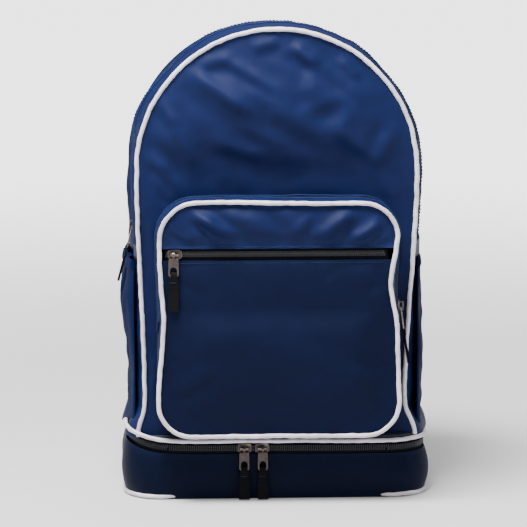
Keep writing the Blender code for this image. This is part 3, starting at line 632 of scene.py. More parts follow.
# side panels below the zip's ends
for side, word in ((-1, "left"), (1, "right")):
    zs = np.linspace(SEAM + 1.5, ZIP_END + 1.0, 70)
    trk = np.stack([side * HALF_W + zs * 0, zs, side + zs * 0, zs * 0], -1)
    ys = np.linspace(Y_FRONT - 0.4, Y_BACK - 6, 46)
    g = main_surface(trk, ys, 1.0, 11 + side)
    yy, zz = g[..., 1], g[..., 2]
    d = sum(fold(yy, zz, *f) for f in ((-60, 246, 10, 205, 8, 1.5), (50, 250, 0, 210, 9, 1.6), (-66, 120, -10, 84, 10, 2.0), (60, 100, 10, 70, 9, 1.5)))
    tie = smooth(zz, SEAM + 2, SEAM + 26)
    base_out = 9.0 * (1 - smooth(zz, SEAM, SEAM + 30)) * np.clip(4 * (yy + 75) * (71 - yy) / 146 ** 2, 0, 1) ** 0.5
    covered = smooth(zz, 74, 112) * (1 - smooth(zz, 222, 246)) * smooth(yy, -74, -52) * (1 - smooth(yy, 44, 64))
    g[..., 0] = side * (HALF_W + (side * g[..., 0] - HALF_W + d * tie) * (1 - 0.8 * covered) + base_out)
    seam_v = np.exp(-(yy - Y_FRONT) / 3.0) + np.exp(-(zz - SEAM) / 3.0)
    on(sheet_mesh(f"{word}_side_cloth", g, NAVY, 1.8, seam_v, out=(side, 0, 0)), "bag", [f"{word}_side_panel"])
    # the tab sewn over the zip's end
    ty, tz = np.meshgrid(np.linspace(ZIP_Y - 12, ZIP_Y + 12, 13), np.linspace(ZIP_END - 9, ZIP_END + 5, 8), indexing="ij")
    base = main_surface(np.stack([side * HALF_W + tz[0] * 0, tz[0], side + tz[0] * 0, tz[0] * 0], -1), ty[:, 0])
    tab = np.transpose(base, (1, 0, 2))
    edge = np.minimum(np.minimum(ty - ty.min(), ty.max() - ty), np.minimum(tz - tz.min(), tz.max() - tz))
    tab[..., 0] += side * (0.9 + 0.7 * smooth(edge, 0, 3))
    on(sheet_mesh(f"{word}_zip_end_tab", tab, NAVY, 1.2, np.ones(tab.shape[:2]) * 0.5, out=(side, 0, 0)), "bag")


# ================================================================ the front panel
def front_edge(t_track):
    """The front panel's outline as a path in 3-D, just behind the piping."""
    return main_surface(t_track, [Y_FRONT], 0.0)[:, 0]


rows_z = np.concatenate([np.linspace(SEAM + 1.0, SPRING, 84, endpoint=False), SPRING + HALF_W * np.sin(np.radians(np.linspace(0, 88.6, 74)))])
half_z = np.where(rows_z <= SPRING, HALF_W, np.sqrt(np.maximum(HALF_W ** 2 - (rows_z - SPRING) ** 2, 1)))
cols = np.linspace(-1, 1, 128)
cols = np.sign(cols) * (1 - (1 - np.abs(cols)) ** 1.25)
X, Z = np.zeros((len(cols), len(rows_z))), np.zeros((len(cols), len(rows_z)))
for j, (z, h) in enumerate(zip(rows_z, half_z)):
    xl = -h + edge_inset(np.array(-1.0), np.array(z)) * (h / HALF_W)
    xr = h - edge_inset(np.array(1.0), np.array(z)) * (h / HALF_W)
    c, w = (xl + xr) / 2, (xr - xl) / 2
    X[:, j], Z[:, j] = c + w * cols, z
e_edge = np.where(Z > SPRING, HALF_W - np.hypot(X, Z - SPRING), HALF_W - np.abs(X) - np.where(X < 0, edge_inset(X * 0 - 1, Z), edge_inset(X * 0 + 1, Z)))
e_edge = np.clip(e_edge, 0, None)
P3 = np.stack([X, X * 0, Z], -1)
above = smooth(Z, 318, 390) * (1 - 0.30 * smooth(Z, 405, 470))
puff = 12.5 * above * (1 - np.exp(-(e_edge / 36.0) ** 1.25)) + 1.2
front_folds = ((-132, 352, -84, 300, 8, 2.6), (-128, 330, -98, 296, 6, 1.8), (-20, 396, 60, 366, 12, 1.8), (-70, 366, -6, 340, 10, 2.0), (10, 386, 84, 410, 9, 1.4), (-126, 412, -96, 372, 6, 1.6), (80, 452, 112, 416, 7, 1.6), (12, 459, 44, 434, 9, 3.4), (-30, 452, 6, 462, 8, 1.7), (-104, 436, -14, 376, 12, 3.0), (-84, 458 - 22, -40, 446, 9, 2.0), (-124, 384, -74, 312, 11, 3.0), (-120, 346, -92, 306, 8, 1.8), (-60, 412, 30, 395, 15, 1.8),
               (86, 416, 48, 350, 14, 2.2), (118, 380, 92, 318, 10, 2.4), (20, 420, 66, 398, 12, 1.6), (-34, 356, 44, 334, 13, 1.5), (96, 332, 122, 300, 8, 1.6), (60, 446, 84, 420, 7, 1.8),
               (-64, 330, -20, 316, 9, 1.6), (12, 322, 70, 312, 9, 1.5), (-128, 290, -121, 220, 6, 1.2), (126, 280, 121, 200, 6, 1.3), (-122, 150, -128, 90, 6, 1.3), (118, 160, 122, 96, 6, 1.5),
               (-96, 440, -12, 380, 8, 2.2), (-64, 450, 14, 404, 7, 1.6), (-118, 400, -66, 316, 8, 2.0), (-50, 384, 20, 352, 9, 1.3), (34, 446, 96, 396, 8, 1.3), (52, 380, 104, 336, 9, 1.6))
wr = sum(fold(X, Z, f[0], f[1], f[2], f[3], f[4] * 0.85, f[5] * 1.5) for f in front_folds)
inner = 1 - np.exp(-(e_edge / 10.0) ** 1.5)
wr = wr * (1 - 0.7 * (1 - smooth(Z, 326, 358)) * smooth(Z, 300, 312) * (1 - smooth(np.abs(X), 112, 128)))
wr = wr * inner + inner * (0.9 * wavy(P3, 120, 5, 3) + 0.35 * wavy(P3, 34, 6, 2)) * smooth(Z, 290, 330)
ang_edge = np.arctan2(X, Z - 200) * 140
wr = wr + 0.55 * np.exp(-e_edge / 5.0) * np.sin(ang_edge / 2.9 + 1.5 * np.sin(ang_edge / 15.0))
Yf = Y_FRONT - 0.2 - puff - wr
Yf = np.where(Z < 300, np.maximum(Yf, Y_FRONT - 2.6 - 1.2 * smooth(np.abs(X), 112, 120)), Yf)
seam_v = np.exp(-e_edge / 3.0) + 0.6 * np.exp(-np.abs(Z - SEAM) / 3.0)
bent(sheet_mesh("front_cloth", np.stack([X, Yf, Z], -1), NAVY, 1.9, seam_v, out=(0, -1, 0)), "bag", "front_flap", *MAIN_FOLD, slot="navy_cloth",
     nodes=["front_panel_lower", "front_flap_panel"])


# ================================================================ piping
def piping_tube(name, path, nodes, closed=False, seed=1):
    pts = np.asarray(path, float)
    p = resample(np.concatenate([pts, pts[:1]]) if closed else pts, 2.2)
    if closed:
        p = p[:-1]
    s = np.arange(len(p)) * 2.2
    wob = np.stack([wavy(p, 26, seed + k, 2) for k in range(3)], -1) * np.array([0.35, 0.22, 0.35])
    r = 2.25 + 0.10 * np.sin(s / 1.9) + 0.12 * wavy(p, 40, seed + 7, 2)
    dirt = np.clip(wavy(p, 60, seed + 9, 3) * 0.7 + 0.15, 0, 1)
    return tube(name, p + wob, r, PIPING, 12, closed, seam=dirt)


full = arch(SEAM + 3.0, 60, 120)
edge = front_edge(full)
pull_in = np.stack([-full[:, 2], full[:, 2] * 0, -full[:, 3]], -1)
pp = edge + pull_in * 1.2
pp[:, 1] = Y_FRONT - 2.7
# the two feet turn out and back to meet the base piping
low = np.clip((SEAM + 34 - pp[:, 2]) / 34, 0, 1) ** 2
pp[:, 1] += low * 2.0
bent(piping_tube("main_piping_tube", pp, None, seed=4), "bag", "front_flap", *MAIN_FOLD, slot="white_piping", nodes=["main_piping_left", "main_piping_right", "main_piping_flap"])
# the line of the stitched lip that holds the piping, beside it on the panel; only the path is computed, nothing is
# built from it
lip_n = np.broadcast_to(np.array([0, -1.0, 0]), pp.shape)
lip = edge + pull_in * 6.0
lip[:, 1] = Y_FRONT - 1.9
lip_r = resample(lip, 2.0)


# ================================================================ the front pocket
def pocket_outline(n_corner=14, n_side=46, n_top=46):
    hw, z0, z1, rb, rt = 119.0, 69.0, 305.0, 33.0, 38.0
    def turn(cx, cz, r, a0, a1):
        a = np.radians(np.linspace(a0, a1, n_corner))
        return np.stack([cx + r * np.cos(a), cz + r * np.sin(a), np.cos(a), np.sin(a)], -1)
    def run(x0, za, x1, zb, nx, nz, n):
        t = np.linspace(0, 1, n + 2)[1:-1]
        return np.stack([x0 + (x1 - x0) * t, za + (zb - za) * t, nx + 0 * t, nz + 0 * t], -1)
    return np.concatenate([
        run(-hw, z0 + rb, -hw, z1 - rt, -1, 0, n_side), turn(-hw + rt, z1 - rt, rt, 180, 90), run(-hw + rt, z1, hw - rt, z1, 0, 1, n_top),
        turn(hw - rt, z1 - rt, rt, 90, 0), run(hw, z1 - rt, hw, z0 + rb, 1, 0, n_side), turn(hw - rb, z0 + rb, rb, 0, -90),
        run(hw - rb, z0, -hw + rb, z0, 0, -1, n_top), turn(-hw + rb, z0 + rb, rb, -90, -180)])


def dent(x, z):
    """The pocket's edges are drawn in where the face zip ends and where the cloth slackens."""
    right = 7.5 * np.exp(-((z - 224) / 30.0) ** 2) * smooth(x, 80, 118)
    left = 3.6 * np.exp(-((z - 186) / 36.0) ** 2) * smooth(-x, 80, 118)
    foot = -1.5 * np.exp(-((z - 105) / 30.0) ** 2) * smooth(np.abs(x), 80, 118)
    top = 1.6 * np.sin(x / 31.0) * smooth(z, 285, 303)
    return -(right + left + foot + top * 0.5)


def pocket_surface(track, ys, wrinkle=1.0, seed=21):
    x, z, nx, nz = (track[:, i][:, None] for i in range(4))
    y = np.asarray(ys, float)[None, :] + x * 0
    v = np.clip((-75.3 - y) / (118 - 75.3), 0, 1)
    d = 2.0 * (4 * v * (1 - v)) ** 0.8 + dent(x + 0 * y, z + 0 * y) * v ** 1.6
    p0 = np.stack([x + 0 * y, y, z + 0 * y], -1)
    s = np.cumsum(np.concatenate([[0], np.hypot(np.diff(track[:, 0]), np.diff(track[:, 1]))]))[:, None] + 0 * y
    d = d + wrinkle * (0.7 * wavy(p0, 60, seed, 3) + 0.45 * np.exp(-(v * 42) / 5.0) * np.sin(s / 2.9 + np.sin(s / 11.0)) + 0.4 * np.exp(-((1 - v) * 42) / 5.0) * np.sin(s / 2.7 + 1.0))
    return np.stack([x + nx * d, y, z + nz * d], -1)


ring = pocket_outline()
up = ring[:, 1] > PFOLD - 2.5
first = int(np.argmax(up))
upper = ring[first: first + int(up.sum())]
lower = np.concatenate([ring[first + int(up.sum()) - 1:], ring[: first + 1]])
for name, trk, y0, y1, who in (("pocket_gusset_rear", ring, -75.2, -90.6, "bag"), ("pocket_gusset_front", ring, -103.4, -118.0, "both"), ("pocket_gusset_middle", lower, -90.2, -103.8, "bag")):
    yy = np.linspace(y0, y1, 9)
    g = pocket_surface(trk, yy)
    seam_v = np.broadcast_to((np.exp(-np.abs(yy - yy[0]) / 2.5) + np.exp(-np.abs(yy - yy[-1]) / 2.5))[None, :], g.shape[:2]) * (0 if name.endswith("middle") else 1)
    ob = sheet_mesh(name, g, NAVY, 1.4, seam_v, loop_u=trk is ring)
    if who == "both":
        bent(ob, "bag", "pocket_flap", *POCKET_FOLD, slot="navy_cloth", nodes=["pocket_flap_gusset"])
    else:
        on(ob, "bag", ["pocket_gusset"] if trk is ring else ())
un = np.stack([upper[:, 2], upper[:, 2] * 0, upper[:, 3]], -1)
for name, sign, node in (("pocket_tape_rear", 1, "pocket_zip_rear_tape"), ("pocket_tape_front", -1, "pocket_zip_flap_tape")):
    t = pocket_surface(upper, np.linspace(PZY + sign * 0.8, PZY + sign * 7.6, 5), 0.4) - un[:, None, :] * 0.9
    ob = sheet_mesh(name, t, TAPE, 0.7)
    line = pocket_surface(upper, [PZY], 0.4)[:, 0] - un * 0.6
    pts = resample(line, 2.0)
    k = np.linspace(0, 1, len(pts))
    nn = np.stack([np.interp(k, np.linspace(0, 1, len(un)), un[:, i]) for i in range(3)], -1)
    tt = teeth(name + "_teeth", pts, np.broadcast_to(np.array([0, float(sign), 0]), pts.shape).copy(), nn, 1.9, 0.0 if sign > 0 else 0.95)
    hem = pocket_surface(upper, np.linspace(PZY + sign * 6.0, PZY + sign * 9.6, 5), 1.0) + un[:, None, :] * np.array([0.3, 0.8, 0.95, 0.8, 0.3])[None, :, None]
    hb = sheet_mesh(name + "_hem", hem, NAVY, 0.8, np.ones(hem.shape[:2]) * 0.7)
    hl = resample(hem[:, 2], 2.0)
    kk = np.linspace(0, 1, len(hl))
    hs = stitches(name + "_hem_stitches", hl, np.stack([np.interp(kk, np.linspace(0, 1, len(un)), un[:, i]) for i in range(3)], -1), 3.2)
    for o, sl in ((ob, "zip_tape"), (tt, "zip_tape"), (hb, "navy_cloth"), (hs, "navy_cloth")):
        if sign < 0:
            on(o, "pocket_flap", [node] if o is ob else ())
        else:
            on(o, "bag", [node] if o is ob else ())


def pocket_half(z):
    zz = np.asarray(z, float)
    top = np.where(zz > 267, 81 + np.sqrt(np.maximum(38.0 ** 2 - (zz - 267) ** 2, 0)), 119.0)
    return np.where(zz < 102, 86 + np.sqrt(np.maximum(33.0 ** 2 - (102 - zz) ** 2, 0)), top)


def face_grid(z0, z1, nrows, ncols=104):
    zs = np.linspace(z0, z1, nrows)
    c = np.linspace(-1, 1, ncols)
    c = np.sign(c) * (1 - (1 - np.abs(c)) ** 1.2)
    gx, gz = np.zeros((ncols, nrows)), np.zeros((ncols, nrows))
    for j, z in enumerate(zs):
        h = float(pocket_half(z)) - 0.6
        l, r = -h - float(dent(np.array(-h), np.array(z))), h + float(dent(np.array(h), np.array(z)))
        gx[:, j], gz[:, j] = (l + r) / 2 + (r - l) / 2 * c, z
    return gx, gz


def face_depth(x, z):
    """How far the pocket's face stands in front of its flat outline."""
    h = pocket_half(z)
    e = np.minimum(np.minimum(h - np.abs(x), 304.4 - z), z - 69.6)
    e = np.clip(e, 0, None)
    low = smooth(z, 69, 128) * (1 - smooth(z, 172, 232))
    body = (8.5 * low + 2.2) * (1 - np.exp(-(e / 26.0) ** 1.3)) * (1 - 0.72 * smooth(np.abs(x), 70, 112))
    body = np.where(z > 250, 3.6 * (1 - np.exp(-(e / 14.0) ** 1.3)) * smooth(z, 258, 276), body)
    zip_near = np.exp(-np.abs(z - 252.5) / 9.0)
    body = body * (1 - zip_near)
    return body, e, zip_near


upper_folds = ((-110, 286, -76, 262, 6, 2.4), (-102, 302, -34, 264, 8, 3.2), (-60, 302, -6, 264, 9, 2.6), (-2, 302, 30, 266, 9, 1.6), (34, 262, 80, 300, 9, 2.6), (68, 261, 104, 290, 7, 2.2), (-96, 297, -34, 268, 7, 2.2), (-100, 284, -60, 264, 6, 1.8), (-40, 298, 8, 266, 8, 1.6), (30, 264, 74, 298, 8, 2.3), (60, 262, 106, 284, 6, 2.0), (86, 262, 110, 272, 5, 1.3), (4, 262, 36, 296, 7, 1.3), (-74, 300, -60, 268, 6, 1.4))
lower_folds = ((-80, 240, -30, 196, 9, 1.6), (-50, 244, 10, 210, 8, 1.4), (84, 242, 30, 204, 9, 1.5), (20, 242, 50, 214, 8, 1.1), (-20, 160, 60, 140, 16, 0.9), (-104, 240, -40, 206, 9, 1.8), (-108, 226, -66, 176, 8, 1.5), (104, 240, 46, 214, 9, 2.0), (110, 222, 74, 180, 8, 1.8), (-30, 240, 24, 222, 9, 0.9), (-108, 110, -60, 146, 10, 1.4), (108, 118, 62, 140, 10, 1.5), (-60, 92, 40, 86, 11, 1.2), (20, 190, 90, 168, 14, 0.9), (-90, 172, -20, 160, 14, 0.8))
for name, z0, z1, nr, folds, who in (("pocket_face_cloth", 70.2, 246.6, 96, lower_folds, "both"), ("pocket_top_cloth", 258.6, 304.0, 36, upper_folds, "flap")):
    gx, gz = face_grid(z0, z1, nr)
    body, e, zn = face_depth(gx, gz)
    inn = 1 - np.exp(-(e / 7.0) ** 1.5)
    w = sum(fold(gx, gz, f[0], f[1], f[2], f[3], f[4] * 0.9, f[5] * 1.45) for f in folds) * inn * (1 - zn)
    w = w + inn * (1 - zn) * (0.45 * wavy(np.stack([gx, gx * 0, gz], -1), 70, 31, 3) + 0.16 * wavy(np.stack([gx, gx * 0, gz], -1), 22, 32, 2))
    w = w + 0.45 * np.exp(-e / 4.0) * np.sin((gx + gz) / 2.8 + np.sin((gx - gz) / 13.0))
    near = np.exp(-np.abs(gz - (246.6 if z0 < 200 else 258.6)) / 7.5)
    w = w + 0.55 * near * np.sin(gx / 4.1 + 1.4 * np.sin(gx / 19.0))
    rim_up = 0.7 * np.exp(-np.abs(gz - (246.6 if z0 < 200 else 258.6)) / 1.6)
    by_pull = (1 - smooth(np.abs(gx + 104), 9, 30)) * smooth(gz, 176, 200)
    stand = body + w + rim_up
    if z0 < 200:
        cap = 2.1 + 14.0 * (1 - smooth(gz, 150, 200))
        stand = cap * np.tanh(stand / cap)
    y = PY - 0.2 - (stand * (1 - by_pull) + np.minimum(stand, 2.1) * by_pull)
    # The lower pocket face takes the darker copy of the navy cloth as painted shade; the upper part keeps the plain
    # navy.
    ob = sheet_mesh(name, np.stack([gx, y, gz], -1), NAVY_LOW_PAINTED_SHADE if z0 < 200 else NAVY, 1.5, np.exp(-e / 2.5) + 0.7 * near, out=(0, -1, 0))
    if who == "both":
        bent(ob, "bag", "pocket_flap", *POCKET_FOLD, slot="navy_cloth", nodes=["pocket_face_lower"])
    else:
        on(ob, "pocket_flap", ["pocket_face_upper"])
    line = np.array([[x, PY - 1.3, (244.4 if z0 < 200 else 260.8)] for x in np.linspace(-110, 104 if z0 > 200 else 103, 110)])
    st = stitches(name + "_stitches", line, np.broadcast_to(np.array([0, -1.0, 0]), line.shape).copy(), 3.2)
    on(st, "pocket_flap")

ring_p = np.stack([ring[:, 0], ring[:, 0] * 0 + PY - 2.6, ring[:, 1]], -1)
off = (dent(ring[:, 0], ring[:, 1]) - 1.1)
ring_p[:, 0] += ring[:, 2] * off
ring_p[:, 2] += ring[:, 3] * off
bent(piping_tube("pocket_piping_tube", ring_p, None, True, 14), "bag", "pocket_flap", *POCKET_FOLD, slot="white_piping", nodes=["pocket_piping_lower", "pocket_piping_flap"])

# the face zip
fz, fy = 253.0, -115.3
gx, gz = np.meshgrid(np.linspace(-113, 108, 90), np.linspace(243.0, 252.2, 5), indexing="ij")
t0 = sheet_mesh("face_tape_lower", np.stack([gx, fy - 0.3 + 0.15 * np.sin(gx / 9.0), gz], -1), TAPE, 0.7, out=(0, -1, 0))
gx, gz = np.meshgrid(np.linspace(-113, 108, 90), np.linspace(253.8, 262.5, 5), indexing="ij")
t1 = sheet_mesh("face_tape_upper", np.stack([gx, fy - 0.3 + 0.15 * np.sin(gx / 9.0), gz], -1), TAPE, 0.7, out=(0, -1, 0))
line = np.array([[x, fy - 0.9, fz] for x in np.linspace(-112, 106, 160)])
out_y = np.broadcast_to(np.array([0, -1.0, 0]), line.shape).copy()
t2 = teeth("face_teeth_lower", line, np.broadcast_to(np.array([0, 0, -1.0]), line.shape).copy(), out_y, 1.8, 0.0)
t3 = teeth("face_teeth_upper", line, np.broadcast_to(np.array([0, 0, 1.0]), line.shape).copy(), out_y, 1.8, 0.9)
for i, o in enumerate((t0, t1, t2, t3)):
    on(o, "pocket_flap", ["face_zip_tape"] if i == 0 else ())
# zip end tabs of the pocket's own zip
for side in (-1, 1):
    yy, zz = np.meshgrid(np.linspace(PZY - 9.5, PZY + 9.5, 11), np.linspace(PFOLD - 12, PFOLD - 1, 7), indexing="ij")
    e = np.minimum(np.minimum(yy - yy.min(), yy.max() - yy), np.minimum(zz - zz.min(), zz.max() - zz))
    xx = side * (119 + 2.6 + 0.5 * smooth(e, 0, 2.5)) + dent(np.full(yy.shape, side * 119.0), zz) * 0.35 * side
    on(sheet_mesh(f"pocket_zip_end_{'left' if side < 0 else 'right'}", np.stack([xx, yy, zz], -1), NAVY, 1.0, np.ones(yy.shape) * 0.5, out=(side, 0, 0)), "bag")


# ================================================================ the shoe compartment
def base_outline(part):
    hw, yf, rf, rb, yb = 150.0, -88.0, 40.0, 12.0, 68.0
    def turn(cx, cy, r, a0, a1, n=16):
        a = np.radians(np.linspace(a0, a1, n))
        return np.stack([cx + r * np.cos(a), cy + r * np.sin(a), np.cos(a), np.sin(a)], -1)
    def run(x0, y0, x1, y1, nx, ny, n):
        t = np.linspace(0, 1, n + 2)[1:-1]
        return np.stack([x0 + (x1 - x0) * t, y0 + (y1 - y0) * t, nx + 0 * t, ny + 0 * t], -1)
    fr, fl = turn(hw - rf, yf + rf, rf, -90, 0), turn(-hw + rf, yf + rf, rf, 180, 270)
    br, bl = turn(hw - rb, yb - rb, rb, 0, 90, 8), turn(-hw + rb, yb - rb, rb, 90, 180, 8)
    if part == "front":
        x = np.linspace(-110, 110, 90)
        return np.stack([x, x * 0 + yf, x * 0, x * 0 - 1], -1)
    if part == "wall":
        return np.concatenate([fr, run(hw, yf + rf, hw, yb - rb, 1, 0, 30), br, run(hw - rb, yb, -hw + rb, yb, 0, 1, 40), bl, run(-hw, yb - rb, -hw, yf + rf, -1, 0, 30), fl])
    left = run(-hw, 30, -hw, yf + rf, -1, 0, 22)
    right = run(hw, yf + rf, hw, 30, 1, 0, 22)
    x = np.linspace(-110, 110, 60)
    mid_run = np.stack([x, x * 0 + yf, x * 0, x * 0 - 1], -1)
    return np.concatenate([left, fl, mid_run[1:-1], fr, right])


def seam_lift(x, y):
    return 6.5 * np.exp(-((x + 145) ** 2 + (y + 58) ** 2) / 35.0 ** 2) + 7.5 * np.exp(-((x + 152) ** 2 + (y + 34) ** 2) / 34.0 ** 2) - 0.7 * np.exp(-((x - 70) ** 2 + (y + 88) ** 2) / 60.0 ** 2)


def base_surface(track, zs, wrinkle=1.0, seed=41):
    x, y, nx, ny = (track[:, i][:, None] for i in range(4))
    z = np.asarray(zs, float)[None, :] + x * 0
    u = np.clip(z / 50.0, 0, 1)
    calm = (1 - smooth(np.abs(x), 108, 134)) * (y < -60)
    amount = 6.2 - 3.6 * calm
    d = amount * np.sin(math.pi * np.clip(u, 0.02, 0.98) ** 0.85) ** 0.8 * np.where(ny > 0.5, 0.1, 1.0)
    p0 = np.stack([x + 0 * z, y + 0 * z, z], -1)
    d = d + wrinkle * (1 - 0.6 * calm) * (0.7 * wavy(p0, 80, seed, 3) + 0.3 * wavy(p0, 24, seed + 1, 2)) * np.sin(math.pi * u) ** 0.5
    lift = seam_lift(x, y) * smooth(z, 10, 52)
    return np.stack([x + nx * d, y + ny * d, z + lift], -1)


zs = np.concatenate([np.linspace(1.4, 45.6, 22)])
for name, part, body, node in (("base_front_cloth", "front", "base_flap", "base_flap_panel"), ("base_wall_cloth", "wall", "bag", "base_wall")):
    trk = base_outline(part)
    zz = np.linspace(1.2, 45.6, 24) if part == "front" else zs
    g = base_surface(trk, zz)
    seam_v = np.broadcast_to((np.exp(-(zz - zz[0]) / 2.5) + np.exp(-(zz[-1] - zz) / 2.5))[None, :], g.shape[:2])
    ob = sheet_mesh(name, g, NAVY_DARK, 1.8, seam_v, out=(0, -1, 0) if part == "front" else None)
    if part == "front":
        bent(ob, "bag", "base_flap", (0, -88, 2.0), (0, -88, 11.0), slot="navy_cloth", nodes=[node])
    else:
        on(ob, body, [node])
# the strip of cloth above the zip's ends, along the back half of both sides and the back
trk = base_outline("wall")
keep = trk[trk[:, 1] > 29.0]
keep = keep[np.argsort(np.unwrap(np.arctan2(keep[:, 1] - 0.0, keep[:, 0])))]
g = base_surface(keep, np.linspace(44.6, SEAM + 2.4, 8), 0.4)
on(sheet_mesh("base_back_band", g, NAVY_DARK, 1.6, np.ones(g.shape[:2]) * 0.3), "bag")
zt = base_outline("zip")
zn3 = np.stack([zt[:, 2], zt[:, 3], zt[:, 2] * 0], -1)
centre = zt.copy()
front_only = (np.abs(zt[:, 0]) < 110.5) & (zt[:, 1] < -80)


def zip_band(track, z0, z1, n=5):
    zz = np.linspace(z0, z1, n)
    nrm = np.stack([track[:, 2], track[:, 3], track[:, 2] * 0], -1)
    p = np.stack([track[:, 0][:, None] + 0 * zz, track[:, 1][:, None] + 0 * zz, zz[None, :] + seam_lift(track[:, 0], track[:, 1])[:, None]], -1)
    return p + nrm[:, None, :] * (-0.3)


parts = (("upper", zt, 52.6, 59.4, "bag", ["base_zip_upper_tape"]), ("lower_front", zt[front_only], 43.6, 50.8, "base_flap", ["base_zip_flap_tape"]),
         ("lower_left", zt[: int(np.argmax(front_only)) + 1], 43.6, 50.8, "bag", []), ("lower_right", zt[len(zt) - int(np.argmax(front_only[::-1])) - 1:], 43.6, 50.8, "bag", []))
for word, trk, z0, z1, body, nd in parts:
    ob = sheet_mesh(f"base_tape_{word}", zip_band(trk, z0, z1), TAPE, 0.8, out=(0, -1, 0) if "front" in word else None)
    on(ob, body, nd)
    line = zip_band(trk, 51.7, 51.7, 1)[:, 0]
    nrm = np.stack([trk[:, 2], trk[:, 3], trk[:, 2] * 0], -1)
    pts = resample(line, 2.0)
    kk = np.linspace(0, 1, len(pts))
    arc_k = np.concatenate([[0], np.cumsum(np.linalg.norm(np.diff(line, axis=0), axis=1))])
    nn = np.stack([np.interp(kk * arc_k[-1], arc_k, nrm[:, i]) for i in range(3)], -1)
    upward = 1.0 if word == "upper" else -1.0
    tt = teeth(f"base_teeth_{word}", pts + nn * 0.4, np.broadcast_to(np.array([0, 0, upward]), pts.shape).copy(), nn, 2.1, 0.0 if upward > 0 else 1.05)
    on(tt, body)
bp = np.stack([zt[:, 0] + zt[:, 2] * 2.5, zt[:, 1] + zt[:, 3] * 2.5, SEAM + seam_lift(zt[:, 0], zt[:, 1])], -1)
on(piping_tube("base_piping_upper_tube", bp, None, seed=24), "bag", ["base_piping_upper"])
tuck = 2.4 - 5.6 * (1 - smooth(np.abs(zt[:, 0]), 84, 132))
bl = np.stack([zt[:, 0] + zt[:, 2] * tuck, zt[:, 1] + zt[:, 3] * tuck, 2.7 + 0 * zt[:, 0]], -1)
on(piping_tube("base_piping_lower_tube", bl, None, seed=34), "bag", ["base_piping_lower"])


# ================================================================ side pockets
for side, word in ((-1, "left"), (1, "right")):
    zk = np.array([SEAM + 3, 85, 125, 150, 178, 200, 218, 239.0])
    bk = np.array([8.0, 6.2, 5.4, 7.8, 12.5, 14.2, 12.6, 9.0] if side < 0 else [8.0, 7.6, 8.6, 8.8, 7.8, 6.4, 4.9, 3.4])
    zs = np.linspace(SEAM + 3, 239, 70)
    b = np.interp(zs, zk, bk)
    tt_ = np.linspace(0, 1, 60)
    T, Zs = np.meshgrid(tt_, zs, indexing="ij")
    Yp = -66 + 122 * T
    bulge = b[None, :] * np.sin(math.pi * np.clip(T, 0.001, 0.999)) ** 0.5
    gather = 0.9 * np.exp(-(239 - Zs) / 26.0) * np.sin(Yp / 3.2 + 1.2 * np.sin(Yp / 14.0)) + 1.0 * np.exp(-(Zs - SEAM - 3) / 20.0) * np.sin(Yp / 6.0 + np.sin(Yp / 21.0))
    P = np.stack([Yp * 0, Yp, Zs], -1)
    extra = 1.3 * wavy(P, 60, 50 + side, 3) + 0.5 * wavy(P, 24, 55 + side, 2) + fold(Yp, Zs, -48, 200, -20, 120, 7, 1.8) + fold(Yp, Zs, 30, 205, 26, 130, 7, 1.7) + fold(Yp, Zs, -8, 222, -14, 170, 6, 1.4) + fold(Yp, Zs, -56, 214, -6, 150, 8, 1.6) + fold(Yp, Zs, 50, 226, 8, 170, 9, 1.7) + fold(Yp, Zs, -40, 84, 20, 110, 9, 1.6)
    edge_calm = np.sin(math.pi * T) ** 0.4
    pressed = 5.2 * np.exp(-((Yp + 22) / 15.0) ** 2) * smooth(Zs, 190, 216) * (side < 0)
    xo = side * (HALF_W + 1.9 + bulge + (gather + extra) * edge_calm * 0.9 - pressed)
    on(sheet_mesh(f"{word}_side_pocket_cloth", np.stack([xo, Yp, Zs], -1), NAVY_SIDE_PAINTED_SHADE, 1.2, np.exp(-(239 - Zs) / 3.0), out=(side, 0, 0)), "bag", [f"{word}_side_pocket"])
    # the elastic hem round the pocket's mouth
    hz = np.linspace(229, 240.4, 7)
    T, Zs = np.meshgrid(tt_, hz, indexing="ij")
    Yp = -66 + 122 * T
    bulge = np.interp(hz, zk, bk)[None, :] * np.sin(math.pi * np.clip(T, 0.001, 0.999)) ** 0.5
    ruck = 0.75 * np.sin(Yp / 2.2 + np.sin(Yp / 9.0)) * np.sin(math.pi * T) ** 0.4
    pressed = 6.8 * np.exp(-((Yp + 22) / 15.0) ** 2) * (side < 0)
    xo = side * (HALF_W + 3.4 - 1.7 * (1 - smooth(Zs, 229, 232.5)) + bulge - pressed + ruck + 0.5 * np.sin((Zs - 229) / 11.4 * math.pi))
    on(sheet_mesh(f"{word}_side_pocket_hem", np.stack([xo, Yp, Zs], -1), NAVY_SIDE_PAINTED_SHADE, 2.6, None, out=(side, 0, 0)), "bag")


# ================================================================ back panel, yoke, straps, haul loop
rows_b = np.concatenate([np.linspace(4.0, SPRING, 96, endpoint=False), SPRING + (HALF_W - 1) * np.sin(np.radians(np.linspace(0, 88.4, 56)))])
half_b = np.where(rows_b <= SPRING, HALF_W - 1, np.sqrt(np.maximum((HALF_W - 1) ** 2 - (rows_b - SPRING) ** 2, 1)))
half_b = np.where(rows_b < 24, HALF_W - 21 + np.sqrt(np.maximum(400 - (24 - np.minimum(rows_b, 24)) ** 2, 0)), half_b)
cb = np.linspace(-1, 1, 120)
X = cb[:, None] * half_b[None, :]
Z = X * 0 + rows_b[None, :]
e = np.where(Z > SPRING, HALF_W - 1 - np.hypot(X, Z - SPRING), HALF_W - 1 - np.abs(X))
e = np.clip(np.minimum(e, Z - 4), 0, None)
groove = np.zeros_like(X)
for z0 in (96, 190, 284):
    groove = np.maximum(groove, np.exp(-((Z - z0 - 10 * np.cos(X / 60)) / 4.0) ** 2) * (1 - smooth(np.abs(X), 106, 124)))
groove = np.maximum(groove, np.exp(-(X / 6.5) ** 2) * (1 - smooth(Z, 366, 388)))
pad = 4.8 * (1 - np.exp(-(e / 13.0) ** 1.4)) * (1 - 0.95 * groove) * (1 - smooth(Z, 372, 392) * (1 - smooth(np.abs(X), 90, 110)))
